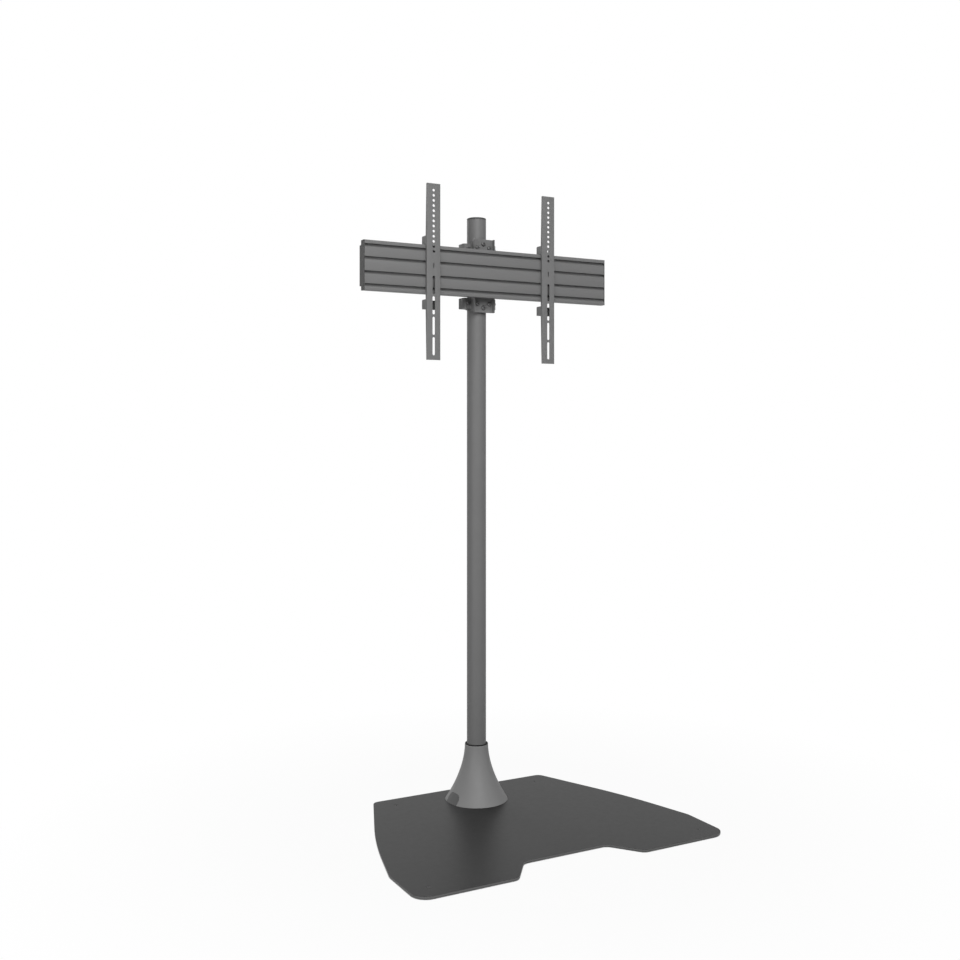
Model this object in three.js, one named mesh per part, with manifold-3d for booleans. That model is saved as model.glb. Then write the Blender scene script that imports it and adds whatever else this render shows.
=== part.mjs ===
// Freestanding screen stand: a flat floor plate carries a round pole, and a
// height-adjustable mount with a grooved rail and two screen arms is clamped to the pole.
// Millimetres, +Z up. X is the stand's width, and the screen faces -Y.
// The origin is the middle of the floor plate's outline, at floor level.

import * as THREE from 'three';
import { mergeVertices } from 'three/addons/utils/BufferGeometryUtils.js';
import Module from 'manifold-3d';

const wasm = await Module();
wasm.setup();

// General

const gap = 0.3; // clearance between a piece and the cut or bore that it sits in
const overrun = 5; // how far a cutting tool reaches past the face that it cuts
const roundSides = 40; // facets round the pole and the cone
const boreSides = 12; // facets round bolts and their holes
const arcSteps = 5; // chords in each rounded corner
const holeCurve = 5; // half the chords in each punched round hole
const fineSteps = 2; // chords in each small rounded corner
const samePlace = 0.001; // outline points closer than this are one point

// Floor plate, with its outline measured from the pole's axis

const padThickness = 2;
const padRadius = 20;
const padSpacing = 45; // from a pad's middle to the levelling screw beside it
const plateThickness = 6;
const plateHalfWidth = 490;
const plateFront = 608;
const plateBack = 117;
const backInset = 190; // from the plate's side to its back corner
const backCornerRadius = 25;
const shoulderInset = 61.3; // from the plate's side to where its two slanting stretches meet
const shoulderFront = 197;
const shoulderRadius = 2200;
const sideLength = 175; // straight stretch behind each front corner
const sideStartRadius = 70;
const frontCornerRadius = 45;
const toeHalfGap = 200; // the front recess, at the front edge
const recessHalfWidth = 133; // and at its back
const recessDepth = 89;
const recessRadius = 28;

// Levelling screws in the plate's corners

const levellerRadius = 5;
const levellerSink = 0.3;
const levellerRise = 0.8; // its tip's height over the floor when it is wound in
const levellerSocket = 2.5;
const levellerSocketDepth = 3;
const levellerFrontInset = 58; // from the plate's side and front
const levellerBackInset = 52; // from its back corner's side
const levellerBackMargin = 59; // from its back

// Pole, its flange and its cap

const poleRadius = 30;
const poleWall = 3;
const poleHeight = 1817; // over the plate, with the cap
const capThickness = 5.5;
const capRound = 2;
const capPlugDepth = 20;
const capPlugWall = 2.5;
const flangeRadius = 75;
const flangeThickness = 10;
const spigotHeight = 110;
const spigotWall = 5.5;
const flangeBoltCircle = 57.5; // radius of the bolt circle
const flangeBoltCount = 4;
const poleScrewHeight = 85; // over the flange
const poleScrewTurns = [0.5, 0.75]; // round the pole from the front, in turns

// Cable entry in the pole, behind the rail, and outlet at its foot

const entryWidth = 9;
const entryHalfLength = 60; // up and down from the rail's middle
const entryTurn = 0.119; // from the front, clockwise seen from above
const outletTurn = 0.236;
const outletSlotWidth = 22;
const outletSlotBottom = 12; // over the flange
const outletSlotHeight = 55;

// Cone cover with its collar and the push-in cover of its cable outlet

const coneHeight = 172;
const coneBaseRadius = 97.7;
const coneTopRadius = 36.5;
const coneFlarePower = 1.82; // how fast the flare opens towards the plate
const coneWall = 2.5;
const coneRings = 8;
const rimRound = 1.6;
const collarHeight = 12; // of its part inside the cone
const collarLip = 2.6; // thickness of its part on the cone's rim
const collarLipInset = 0.8; // from the rim's side
const archWidth = 56;
const archHeight = 30;
const archCorner = 20;
const archTabWidth = 18; // snap tab inside the cone, over the arch
const archTabReach = 6;
const archTabThickness = 1.6;

// Mount bracket: an upright channel that opens to the front

const mountDrop = 185; // from the pole's top to the rail's middle
const bracketHalfWidth = 35.4;
const bracketHeight = 227;
const bracketWall = 3;
const bracketBend = 4;
const bracketSeatHalfHeight = 52; // how far up and down its sides reach the rail
const bracketEndDepth = 12.5; // of its sides over and under the rail
const webBack = 42; // the web's back face, in front of the pole's axis
const railBack = 63; // the rail's back face, which the channel's edges meet

// Pole clamps, each a front and a rear jaw

const clampOffset = 84; // from the rail's middle up and down
const jawHeight = 33;
const jawSplit = 0.75; // half the slit between the jaws
const jawHalfWidth = 58;
const frontEarDepth = 25;
const rearEarDepth = 14;
const jawNoseHalfWidth = 28;
const jawNeckHalfWidth = 32;
const jawWall = 6.2;
const earRadius = 10;
const jawFillet = 3;
const jawEdge = 2; // chamfer round a jaw's top and bottom
const jawNoseReach = 8; // how far the front jaw's nose stands out past its ears, away from the rail
const clampBoltX = 44.5;
const jawScrewX = 21;
const jawScrewOffset = 87; // from the rail's middle up and down
const jawScrewDepth = 15; // blind hole in the front jaw
const setScrewOffset = 99;

// Metric fasteners

const m8 = {
  radius: 4,
  capRadius: 6.5,
  capHeight: 8,
  buttonRadius: 7,
  buttonHeight: 4.5,
  flats: 13,
  nut: 6.5,
  key: 3,
};
const m10 = { radius: 5, flats: 17, head: 6.4 };
const keyDepthShare = 0.5; // of the head's height
const threadProud = 2; // how far a bolt stands out of its nut

// Rail: an extrusion with four grooves in front, two T-slots behind and three chambers

const railLength = 840; // with its end caps
const railHalfHeight = 73;
const railBackHalfHeight = 59.5;
const railFrontDepth = 21;
const railBackDepth = 11;
const railEdge = 1;
const grooveSpaces = [37, 41.5, 37]; // between the upper edges of the four grooves, from the top
const grooveRise = 4.7; // how far the middle of those edges lies over the rail's
const grooveMouth = 9;
const grooveLip = 2.5;
const grooveReach = 2.5; // how far a groove goes up behind its lip
const grooveDepth = 8;
const grooveWell = 3.2; // how far its inner wall goes down before it slants out
const slotMouth = 8.6;
const slotWidth = 15.6;
const slotLip = 3;
const slotDepth = 9.5;
const slotOffset = 38; // from the rail's middle up and down
const chamberWall = 2.5;
const chamberRadius = 2;
const endCapThickness = 3;
const endCapPlug = 8;
const tHeadSize = 14;
const tHeadThickness = 5.5;

// Screen arms

const armX = 200; // holes of the two arms stand 400 apart
const armSpace = 10; // from the rail's front to the arm's front
const armWidth = 45;
const armWall = 2;
const armHead = 182; // from the rail's top up to the arm's top
const armTail = 152.5; // from the lower tab down to the arm's bottom
const armCorner = 1.5;
const armEndDepth = 5;
const armTaper = 150; // length over which the flange deepens to the rail's depth
const hookHeight = 27;
const hookReach = 35; // from the arm's front
const hookBarb = 3.7;
const hookDrop = 9;
const hookCorner = 4;
const lockTabDrop = 16; // from the rail's bottom to the lower tab's top
const lockTabHeight = 28;
const roundHoleRadius = 4;
const roundHoleCount = 13;
const roundHolePitch = 15.2;
const roundHoleStart = 20;
const shortSlotWidth = 3;
const shortSlotLength = 14.5;
const shortSlotSpace = 30.1; // from the last round hole's edge
const longSlotWidth = 8;
const longSlotLength = 54;
const longSlotBridge = 6.7;
const longSlotSpace = 23.5; // from the short slot's lower end
const longSlotMargin = 13; // least length of plain web under the last slot

// Lock block and screw between each arm's lower tabs

const lockBlockWall = 10; // from the block's front to its back
const lockBlockEdge = 1;
const lockScrewRadius = 2.5;
const lockScrewRise = 8; // how far its tip stands behind the rail's lower lip
const lockHeadRadius = 5;
const lockHeadHeight = 6;
const lockKey = 2;

// Colours and finishes

const finish = (color, roughness, metalness) => ({ color, roughness, metalness });
const plateFinish = finish(0x525254, 0.5, 0.1);
const poleFinish = finish(0x6c6c6d, 0.45, 0.2);
const coneFinish = finish(0x777779, 0.5, 0.1);
const mountFinish = finish(0x58585a, 0.5, 0.2);
const railFinish = finish(0x5c5c5f, 0.5, 0.2);
const screwFinish = finish(0x3a3a3c, 0.4, 0.7);
const plasticFinish = finish(0x2b2b2c, 0.6, 0);
const rubberFinish = finish(0x1b1b1b, 0.9, 0);

// Heights and places that follow from the sizes above

const plateTop = padThickness + plateThickness;
const poleY = (plateFront - plateBack) / 2;
const flangeTop = plateTop + flangeThickness;
const railMiddle = plateTop + poleHeight - mountDrop;
const railFront = railBack + railFrontDepth + railBackDepth;
const armFront = railFront + armSpace;
const lipBack = railBack + railBackDepth; // back of the lips that stand over and under the rail's back
const hookBack = armFront - hookReach;
const turn = 2 * Math.PI;

// Solids and booleans

function toSolid(geometry) {
  geometry.deleteAttribute('normal');
  geometry.deleteAttribute('uv');
  const merged = mergeVertices(geometry);
  return new wasm.Manifold(new wasm.Mesh({
    numProp: 3,
    vertProperties: new Float32Array(merged.attributes.position.array),
    triVerts: new Uint32Array(merged.index.array),
  }));
}

function toGeometry(solid) {
  const mesh = solid.getMesh();
  const geometry = new THREE.BufferGeometry();
  geometry.setAttribute('position', new THREE.BufferAttribute(new Float32Array(mesh.vertProperties), 3));
  geometry.setIndex(new THREE.BufferAttribute(new Uint32Array(mesh.triVerts), 1));
  geometry.computeVertexNormals();
  return geometry;
}

function cut(body, tools) {
  return tools.reduce((rest, tool) => rest.subtract(tool), body);
}

function join(solids) {
  return solids.reduce((whole, solid) => whole.add(solid));
}

// Outlines

// Corners are [x, y, radius], and each one is rounded by a tangent arc.
function roundedShape(corners, steps = arcSteps) {
  const points = [];
  corners.forEach(([x, y, radius = 0], index) => {
    const corner = new THREE.Vector2(x, y);
    const before = new THREE.Vector2(...corners.at(index - 1).slice(0, 2)).sub(corner);
    const after = new THREE.Vector2(...corners[(index + 1) % corners.length].slice(0, 2)).sub(corner);
    const halfAngle = before.angleTo(after) / 2;
    const reach = Math.min(radius / Math.tan(halfAngle), before.length() / 2, after.length() / 2);
    if (reach <= 0) {
      points.push(corner);
      return;
    }
    const fillet = reach * Math.tan(halfAngle);
    const bisector = before.clone().normalize().add(after.clone().normalize()).normalize();
    const centre = corner.clone().addScaledVector(bisector, fillet / Math.sin(halfAngle));
    const first = corner.clone().addScaledVector(before.normalize(), reach).sub(centre);
    const last = corner.clone().addScaledVector(after.normalize(), reach).sub(centre);
    const sweep = Math.atan2(first.cross(last), first.dot(last));
    for (let step = 0; step <= steps; step += 1) {
      points.push(first.clone().rotateAround(new THREE.Vector2(), (sweep * step) / steps).add(centre));
    }
  });
  const apart = (point, index) => point.distanceTo(points.at(index - 1)) > samePlace;
  return new THREE.Shape(points.filter(apart));
}

const mirrored = (corners) => corners.map(([x, y, radius]) => [-x, y, radius]).reverse();

function rectangle(x0, x1, y0, y1, radius = 0) {
  return [[x0, y0, radius], [x1, y0, radius], [x1, y1, radius], [x0, y1, radius]];
}

// Extrusions: an outline drawn in one plane and pushed along the third axis

function extrude(shape, length, bevel = 0) {
  return new THREE.ExtrudeGeometry(shape, {
    curveSegments: holeCurve,
    depth: length - 2 * bevel,
    bevelEnabled: bevel > 0,
    bevelSize: bevel,
    bevelThickness: bevel,
    bevelOffset: -bevel,
    bevelSegments: 1,
  }).translate(0, 0, bevel);
}

function upward(shape, z0, z1, bevel = 0) {
  return toSolid(extrude(shape, z1 - z0, bevel).translate(0, 0, z0));
}

// The outline is drawn in X and Z, and the solid lies between y0 and y1.
function acrossY(shape, y0, y1) {
  return toSolid(extrude(shape, y1 - y0).rotateX(Math.PI / 2).translate(0, y1, 0));
}

// The outline is drawn in Y and Z, and the solid lies between x0 and x1.
function acrossX(shape, x0, x1) {
  const cycle = new THREE.Matrix4().set(0, 0, 1, 0, 1, 0, 0, 0, 0, 1, 0, 0, 0, 0, 0, 1);
  return toSolid(extrude(shape, x1 - x0).applyMatrix4(cycle).translate(x0, 0, 0));
}

function block(x0, x1, y0, y1, z0, z1) {
  const box = new THREE.BoxGeometry(x1 - x0, y1 - y0, z1 - z0);
  return toSolid(box.translate((x0 + x1) / 2, (y0 + y1) / 2, (z0 + z1) / 2));
}

// A round or, with six sides, hexagonal rod along Z
function rod(radius, z0, z1, sides = boreSides) {
  const cylinder = new THREE.CylinderGeometry(radius, radius, z1 - z0, sides);
  return toSolid(cylinder.rotateX(Math.PI / 2).translate(0, 0, (z0 + z1) / 2));
}

// The profile is [radius, z] points, going round the section anticlockwise.
function revolve(profile, sides = roundSides) {
  const points = [...profile, profile[0]].map(([radius, z]) => new THREE.Vector2(radius, z));
  return toSolid(new THREE.LatheGeometry(points, sides).rotateX(Math.PI / 2));
}

// Profile points of a rounded outer edge, from the side to the top
function roundedRim(radius, top, round) {
  const chamfer = round * (1 - Math.SQRT1_2);
  return [[radius, top - round], [radius - chamfer, top - chamfer], [radius - round, top]];
}

// A rod that points along -Y, with its start and end given from the back to the front
function rodToFront(radius, yBack, yFront, x, z, sides = boreSides) {
  return rod(radius, yFront, yBack, sides).rotate([90, 0, 0]).mirror([0, 1, 0]).translate([x, 0, z]);
}

// Turn a solid that faces the front round the pole's axis, clockwise seen from above.
const roundPole = (solid, turns) => solid.rotate([0, 0, -360 * turns]);

// Scene graph

const stand = new THREE.Group();
const onPole = new THREE.Group();
onPole.position.set(0, poleY, 0);
stand.add(onPole);

function addMesh(name, solid, look) {
  const mesh = new THREE.Mesh(toGeometry(solid), new THREE.MeshStandardMaterial(look));
  mesh.name = name;
  onPole.add(mesh);
}

// Floor plate

const backHalfWidth = plateHalfWidth - backInset;
const levellerFront = [plateHalfWidth - levellerFrontInset, levellerFrontInset - plateFront];
const levellerBack = [backHalfWidth - levellerBackInset, plateBack - levellerBackMargin];
const levellers = [
  ['front_left', -levellerFront[0], levellerFront[1]],
  ['front_right', ...levellerFront],
  ['back_left', -levellerBack[0], levellerBack[1]],
  ['back_right', ...levellerBack],
];

const flangeBolts = Array.from({ length: flangeBoltCount }, (_, index) => {
  const angle = (turn * (index + 0.5)) / flangeBoltCount;
  return [flangeBoltCircle * Math.cos(angle), flangeBoltCircle * Math.sin(angle)];
});

function basePlate() {
  const rightHalf = [
    [recessHalfWidth, recessDepth - plateFront, recessRadius],
    [toeHalfGap, -plateFront, recessRadius],
    [plateHalfWidth, -plateFront, frontCornerRadius],
    [plateHalfWidth, sideLength - plateFront, sideStartRadius],
    [plateHalfWidth - shoulderInset, -shoulderFront, shoulderRadius],
    [backHalfWidth, plateBack, backCornerRadius],
  ];
  const plate = upward(roundedShape([...rightHalf, ...mirrored(rightHalf)]), padThickness, plateTop);
  const hole = (radius, x, y) => rod(radius, 0, plateTop + overrun).translate([x, y, 0]);
  return cut(plate, [
    ...levellers.map(([, x, y]) => hole(levellerRadius + gap, x, y)),
    ...flangeBolts.map(([x, y]) => hole(m10.radius + gap, x, y)),
  ]);
}

function levellingScrew() {
  const top = plateTop - levellerSink;
  const screw = rod(levellerRadius, levellerRise, top);
  return screw.subtract(rod(levellerSocket, top - levellerSocketDepth, top + overrun, 6));
}

addMesh('base_plate', basePlate(), plateFinish);
for (const [place, x, y] of levellers) {
  const padX = x - Math.sign(x) * padSpacing;
  addMesh(`floor_pad_${place}`, rod(padRadius, 0, padThickness).translate([padX, y, 0]), rubberFinish);
  addMesh(`levelling_screw_${place}`, levellingScrew().translate([x, y, 0]), screwFinish);
}

// Pole, flange and cap

const poleBore = poleRadius - poleWall;
const spigotRadius = poleBore - gap;
const spigotBore = spigotRadius - spigotWall;

// A slot through the pole's wall, facing the front, with round ends
function wallSlot(width, z0, z1) {
  const outline = roundedShape(rectangle(-width / 2, width / 2, z0, z1, width / 2));
  return acrossY(outline, -poleRadius - overrun, -spigotBore / 2);
}

const outletSlot = roundPole(
  wallSlot(outletSlotWidth, flangeTop + outletSlotBottom, flangeTop + outletSlotBottom + outletSlotHeight),
  outletTurn,
);

function poleScrewRod(radius, inner, outer, turns, sides) {
  return roundPole(rodToFront(radius, -inner, -outer, 0, flangeTop + poleScrewHeight, sides), turns);
}

function poleFlange() {
  const body = revolve([
    [spigotBore, plateTop],
    [flangeRadius, plateTop],
    [flangeRadius, flangeTop],
    [spigotRadius, flangeTop],
    [spigotRadius, flangeTop + spigotHeight],
    [spigotBore, flangeTop + spigotHeight],
  ]);
  return cut(body, [
    outletSlot,
    ...flangeBolts.map(([x, y]) => rod(m10.radius + gap, 0, flangeTop + overrun).translate([x, y, 0])),
    ...poleScrewTurns.map((turns) => poleScrewRod(m8.radius + gap, 0, poleRadius, turns)),
  ]);
}

function flangeBolt() {
  const corner = m10.flats / 2 / Math.cos(Math.PI / 6);
  const headTop = flangeTop + m10.head;
  const head = rod(corner, flangeTop, headTop, 6);
  return head.add(rod(m10.radius, padThickness + gap, headTop - m10.head / 2));
}

function pole() {
  const tubeTop = plateTop + poleHeight - capThickness;
  const tube = revolve([
    [poleBore, flangeTop],
    [poleRadius, flangeTop],
    [poleRadius, tubeTop],
    [poleBore, tubeTop],
  ]);
  return cut(tube, [
    outletSlot,
    roundPole(wallSlot(entryWidth, railMiddle - entryHalfLength, railMiddle + entryHalfLength), entryTurn),
    ...poleScrewTurns.map((turns) => poleScrewRod(m8.radius + gap, 0, poleRadius + overrun, turns)),
  ]);
}

function poleScrew(turns) {
  const headSeat = poleRadius + gap;
  const headTop = headSeat + m8.buttonHeight;
  const screw = poleScrewRod(m8.radius, spigotBore, headSeat + m8.buttonHeight / 2, turns)
    .add(poleScrewRod(m8.buttonRadius, headSeat, headTop, turns));
  const keyDepth = m8.buttonHeight * keyDepthShare;
  return screw.subtract(poleScrewRod(m8.key, headTop - keyDepth, headTop + overrun, turns, 6));
}

function poleCap() {
  const top = plateTop + poleHeight;
  const seat = top - capThickness;
  const plugRadius = poleBore - gap;
  return revolve([
    [0, top],
    [0, seat],
    [plugRadius - capPlugWall, seat],
    [plugRadius - capPlugWall, seat - capPlugDepth],
    [plugRadius, seat - capPlugDepth],
    [plugRadius, seat],
    [poleRadius, seat],
    ...roundedRim(poleRadius, top, capRound),
  ]);
}

addMesh('pole_flange', poleFlange(), plateFinish);
flangeBolts.forEach(([x, y], index) => {
  addMesh(`flange_bolt_${index + 1}`, flangeBolt().translate([x, y, 0]), screwFinish);
});
addMesh('pole', pole(), poleFinish);
poleScrewTurns.forEach((turns, index) => {
  addMesh(`pole_screw_${index + 1}`, poleScrew(turns), screwFinish);
});
addMesh('pole_cap', poleCap(), plasticFinish);

// Cone cover

// Radius of the cone's outside at a share of its height
const flare = (share) => coneTopRadius + (coneBaseRadius - coneTopRadius) * (1 - share) ** coneFlarePower;

// Profile points at a depth below the cone's outside, from the plate to the rim
function coneLine(depth) {
  return Array.from({ length: coneRings + 1 }, (_, ring) => {
    const share = ring / coneRings;
    const slope = ((coneBaseRadius - coneTopRadius) / coneHeight)
      * coneFlarePower * (1 - share) ** (coneFlarePower - 1);
    const skew = Math.hypot(1, slope); // horizontal length of a unit of wall
    return [flare(share) - depth * skew, plateTop + coneHeight * share];
  });
}

// A layer of the cone's wall between two depths
const coneLayer = (outer, inner) => revolve([...coneLine(outer), ...coneLine(inner).reverse()]);

function coneShell() {
  const rim = roundedRim(coneTopRadius, plateTop + coneHeight, rimRound);
  return revolve([...coneLine(0).slice(0, -1), ...rim, ...coneLine(coneWall).reverse()]);
}

// The arch that is cut out of the cone, seen from outside it
function archBlock(clearance) {
  const half = archWidth / 2 + clearance;
  const top = plateTop + archHeight + clearance;
  const outline = roundedShape([
    [-half, plateTop - overrun],
    [half, plateTop - overrun],
    [half, top, archCorner + clearance],
    [-half, top, archCorner + clearance],
  ]);
  return roundPole(acrossY(outline, -coneBaseRadius - overrun, -coneTopRadius), outletTurn);
}

// A push-in cover: the arch itself, and a snap tab that laps the cone's inside
function outletCover() {
  const tabInside = coneWall + gap + archTabThickness;
  const tabOutline = roundedShape(rectangle(
    -archTabWidth / 2,
    archTabWidth / 2,
    plateTop + archHeight - archTabReach,
    plateTop + archHeight + archTabReach,
    archTabThickness,
  ));
  const tabBlock = roundPole(acrossY(tabOutline, -coneBaseRadius, -coneTopRadius), outletTurn);
  const plug = coneShell().intersect(archBlock(0));
  const root = coneLayer(coneWall / 2, tabInside).intersect(tabBlock).intersect(archBlock(0));
  const tab = coneLayer(coneWall + gap, tabInside).intersect(tabBlock);
  return join([plug, root, tab]);
}

// A ring round the pole: its lower part lies inside the cone, and its lip on the cone's rim
function coverCollar() {
  const seat = plateTop + coneHeight + gap;
  const inner = poleRadius + gap;
  const neck = coneTopRadius - coneWall - gap;
  const outer = coneTopRadius - collarLipInset;
  return revolve([
    [inner, seat - collarHeight],
    [neck, seat - collarHeight],
    [neck, seat],
    [outer, seat],
    [outer, seat + collarLip],
    [inner, seat + collarLip],
  ]);
}

addMesh('cone_cover', coneShell().subtract(archBlock(gap)), coneFinish);
addMesh('cable_outlet_cover', outletCover(), coneFinish);
addMesh('cover_collar', coverCollar(), rubberFinish);

// Mount bracket

const railBoltZ = [-slotOffset, slotOffset];
const sideSigns = [-1, 1];

function mountBracket() {
  const outer = bracketHalfWidth;
  const inner = bracketHalfWidth - bracketWall;
  const webFront = webBack + bracketWall;
  const section = roundedShape([
    [-outer, -webBack, bracketBend],
    [-outer, -railBack],
    [-inner, -railBack],
    [-inner, -webFront, bracketBend - bracketWall],
    [inner, -webFront, bracketBend - bracketWall],
    [inner, -railBack],
    [outer, -railBack],
    [outer, -webBack, bracketBend],
  ]);
  const channel = upward(section, railMiddle - bracketHeight / 2, railMiddle + bracketHeight / 2);
  const hole = (x, z) => (
    rodToFront(m8.radius + gap, -webBack + overrun, -webFront - overrun, x, railMiddle + z));
  const holes = [];
  for (const x of [-jawScrewX, jawScrewX]) {
    for (const z of [-jawScrewOffset, jawScrewOffset, ...railBoltZ]) {
      holes.push(hole(x, z));
    }
  }
  for (const z of [-setScrewOffset, setScrewOffset]) {
    holes.push(hole(0, z));
  }
  return cut(channel, [...holes, ...sideSigns.map(bracketEndCut)]);
}

// What is cut off the channel's sides above (1) and below (-1) the rail
function bracketEndCut(level) {
  const edge = -webBack - bracketEndDepth;
  const slant = railBack - webBack - bracketEndDepth;
  const start = railMiddle + level * bracketSeatHalfHeight;
  const end = railMiddle + level * (bracketHeight / 2 + overrun);
  return acrossX(roundedShape([
    [-railBack, start],
    [edge, start + level * slant],
    [edge, end],
    [-railBack - overrun, end],
    [-railBack - overrun, start],
  ]), -bracketHalfWidth - overrun, bracketHalfWidth + overrun);
}

addMesh('mount_bracket', mountBracket(), mountFinish);

// Pole clamps

const poleClearance = () => rod(poleRadius + gap, 0, plateTop + poleHeight, roundSides);

function frontJaw(level, z) {
  const outline = roundedShape([
    [-jawHalfWidth, -jawSplit],
    [-jawHalfWidth, -frontEarDepth, earRadius],
    [-jawNeckHalfWidth, -frontEarDepth, jawFillet],
    [-jawNoseHalfWidth, -webBack, jawFillet],
    [jawNoseHalfWidth, -webBack, jawFillet],
    [jawNeckHalfWidth, -frontEarDepth, jawFillet],
    [jawHalfWidth, -frontEarDepth, earRadius],
    [jawHalfWidth, -jawSplit],
  ]);
  const jaw = upward(outline, z - jawHeight / 2, z + jawHeight / 2, jawEdge);
  const noseOutline = roundedShape([
    [-jawNeckHalfWidth, -frontEarDepth],
    [-jawNoseHalfWidth, -webBack, jawFillet],
    [jawNoseHalfWidth, -webBack, jawFillet],
    [jawNeckHalfWidth, -frontEarDepth],
  ]);
  const noseHeight = jawHeight / 2 + jawNoseReach;
  const nose = upward(noseOutline, Math.min(z, z + level * noseHeight), Math.max(z, z + level * noseHeight));
  const boltHoles = sideSigns.map((side) => (
    rodToFront(m8.radius + gap, overrun, -frontEarDepth - overrun, side * clampBoltX, z)));
  const screwZ = railMiddle + level * jawScrewOffset;
  const screwHoles = sideSigns.map((side) => (
    rodToFront(m8.radius + gap, jawScrewDepth - webBack, -webBack - overrun, side * jawScrewX, screwZ)));
  const setScrewZ = railMiddle + level * setScrewOffset;
  const setScrewHole = rodToFront(m8.radius + gap, 0, -webBack - overrun, 0, setScrewZ);
  return cut(jaw.add(nose), [poleClearance(), ...boltHoles, ...screwHoles, setScrewHole]);
}

function rearJaw(z) {
  const outer = poleRadius + jawWall;
  const shoulder = Math.acos(rearEarDepth / outer); // where the arc leaves the ears, from the rear
  const arc = Array.from({ length: 2 * arcSteps + 1 }, (_, step) => {
    const angle = shoulder * (1 - step / arcSteps);
    return [outer * Math.sin(angle), outer * Math.cos(angle)];
  });
  const outline = roundedShape([
    [-jawHalfWidth, jawSplit],
    [jawHalfWidth, jawSplit],
    [jawHalfWidth, rearEarDepth, earRadius],
    ...arc,
    [-jawHalfWidth, rearEarDepth, earRadius],
  ]);
  const body = upward(outline, z - jawHeight / 2, z + jawHeight / 2, jawEdge);
  const boltHoles = sideSigns.map((side) => (
    rodToFront(m8.radius + gap, rearEarDepth + overrun, -overrun, side * clampBoltX, z)));
  return cut(body, [poleClearance(), ...boltHoles]);
}

// A cap screw that points to the rear, with its head's seat at the given depth in front of the pole's axis
function capScrew(seat, end, headRadius, headHeight, x, z) {
  const front = -seat - headHeight;
  const keyDepth = headHeight * keyDepthShare;
  const head = rodToFront(headRadius, -seat, front, x, z);
  const shank = rodToFront(m8.radius, -end, -seat - headHeight / 2, x, z);
  return head.add(shank).subtract(rodToFront(m8.key, front + keyDepth, front - overrun, x, z, 6));
}

function hexNut(front, x, z) {
  const corner = m8.flats / 2 / Math.cos(Math.PI / 6);
  const body = rodToFront(corner, front + m8.nut, front, x, z, 6);
  return body.subtract(rodToFront(m8.radius + gap, front + m8.nut + overrun, front - overrun, x, z));
}

// A screw whose head lies on the channel's web, in front
const webScrew = (end, x, z) => capScrew(webBack + bracketWall, end, m8.buttonRadius, m8.buttonHeight, x, z);

for (const [name, level] of [['upper', 1], ['lower', -1]]) {
  const z = railMiddle + level * clampOffset;
  const screwZ = railMiddle + level * jawScrewOffset;
  addMesh(`${name}_front_jaw`, frontJaw(level, z), mountFinish);
  addMesh(`${name}_rear_jaw`, rearJaw(z), mountFinish);
  for (const side of sideSigns) {
    const place = `${name}_${side < 0 ? 'left' : 'right'}`;
    const boltX = side * clampBoltX;
    const boltEnd = -(rearEarDepth + m8.nut + threadProud);
    const clampBolt = capScrew(frontEarDepth, boltEnd, m8.capRadius, m8.capHeight, boltX, z);
    addMesh(`${place}_clamp_bolt`, clampBolt, screwFinish);
    addMesh(`${place}_clamp_nut`, hexNut(rearEarDepth, boltX, z), screwFinish);
    const jawScrew = webScrew(webBack - jawScrewDepth + gap, side * jawScrewX, screwZ);
    addMesh(`${place}_jaw_screw`, jawScrew, screwFinish);
  }
  const setScrew = webScrew(poleRadius + gap, 0, railMiddle + level * setScrewOffset);
  addMesh(`${name}_set_screw`, setScrew, screwFinish);
}

// Rail

const grooveSpan = grooveSpaces.reduce((sum, space) => sum + space);
const grooveTop = grooveRise + grooveSpan / 2;
const grooveHeights = [grooveTop, ...grooveSpaces.map((_, index) => (
  grooveTop - grooveSpaces.slice(0, index + 1).reduce((sum, space) => sum + space)))];

// A front groove, in Y and Z. It goes straight in at its level, reaches up behind the strip above
// and slants out again to the lower edge of its mouth.
function frontGroove(level) {
  const slant = (grooveMouth - grooveWell) / grooveDepth;
  return roundedShape([
    [-railFront - overrun, level],
    [-railFront + grooveLip, level],
    [-railFront + grooveLip, level + grooveReach],
    [-railFront + grooveDepth, level + grooveReach],
    [-railFront + grooveDepth, level - grooveWell],
    [-railFront - overrun, level - grooveMouth - slant * overrun],
  ]);
}

// A T-shaped groove, in Y and Z, whose mouth is at the face and which runs along the given direction
function tGroove(face, inwards, z, { mouth, width, lip, depth }) {
  const y = (distance) => face + inwards * distance;
  const points = [
    [y(-overrun), z - mouth / 2],
    [y(lip), z - mouth / 2],
    [y(lip), z - width / 2],
    [y(depth), z - width / 2],
    [y(depth), z + width / 2],
    [y(lip), z + width / 2],
    [y(lip), z + mouth / 2],
    [y(-overrun), z + mouth / 2],
  ];
  return roundedShape(points);
}

function railSection() {
  return roundedShape([
    [-railFront, -railHalfHeight, railEdge],
    [-lipBack, -railHalfHeight, railEdge],
    [-lipBack, -railBackHalfHeight],
    [-railBack, -railBackHalfHeight, railEdge],
    [-railBack, railBackHalfHeight, railEdge],
    [-lipBack, railBackHalfHeight],
    [-lipBack, railHalfHeight, railEdge],
    [-railFront, railHalfHeight, railEdge],
  ], fineSteps);
}

// The chambers lie between the grooves. The outer two end in front of the T-slots.
const chambers = grooveSpaces.map((_, index) => {
  const high = grooveHeights[index] - grooveMouth - chamberWall;
  const low = grooveHeights[index + 1] + grooveReach + chamberWall;
  const middle = (low + high) / 2;
  const behindSlot = railBoltZ.some((slotZ) => Math.abs(slotZ - middle) < slotWidth);
  const back = railBack + chamberWall + (behindSlot ? slotDepth : 0);
  return { front: -railFront + chamberWall, back: -back, low, high };
});

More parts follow.
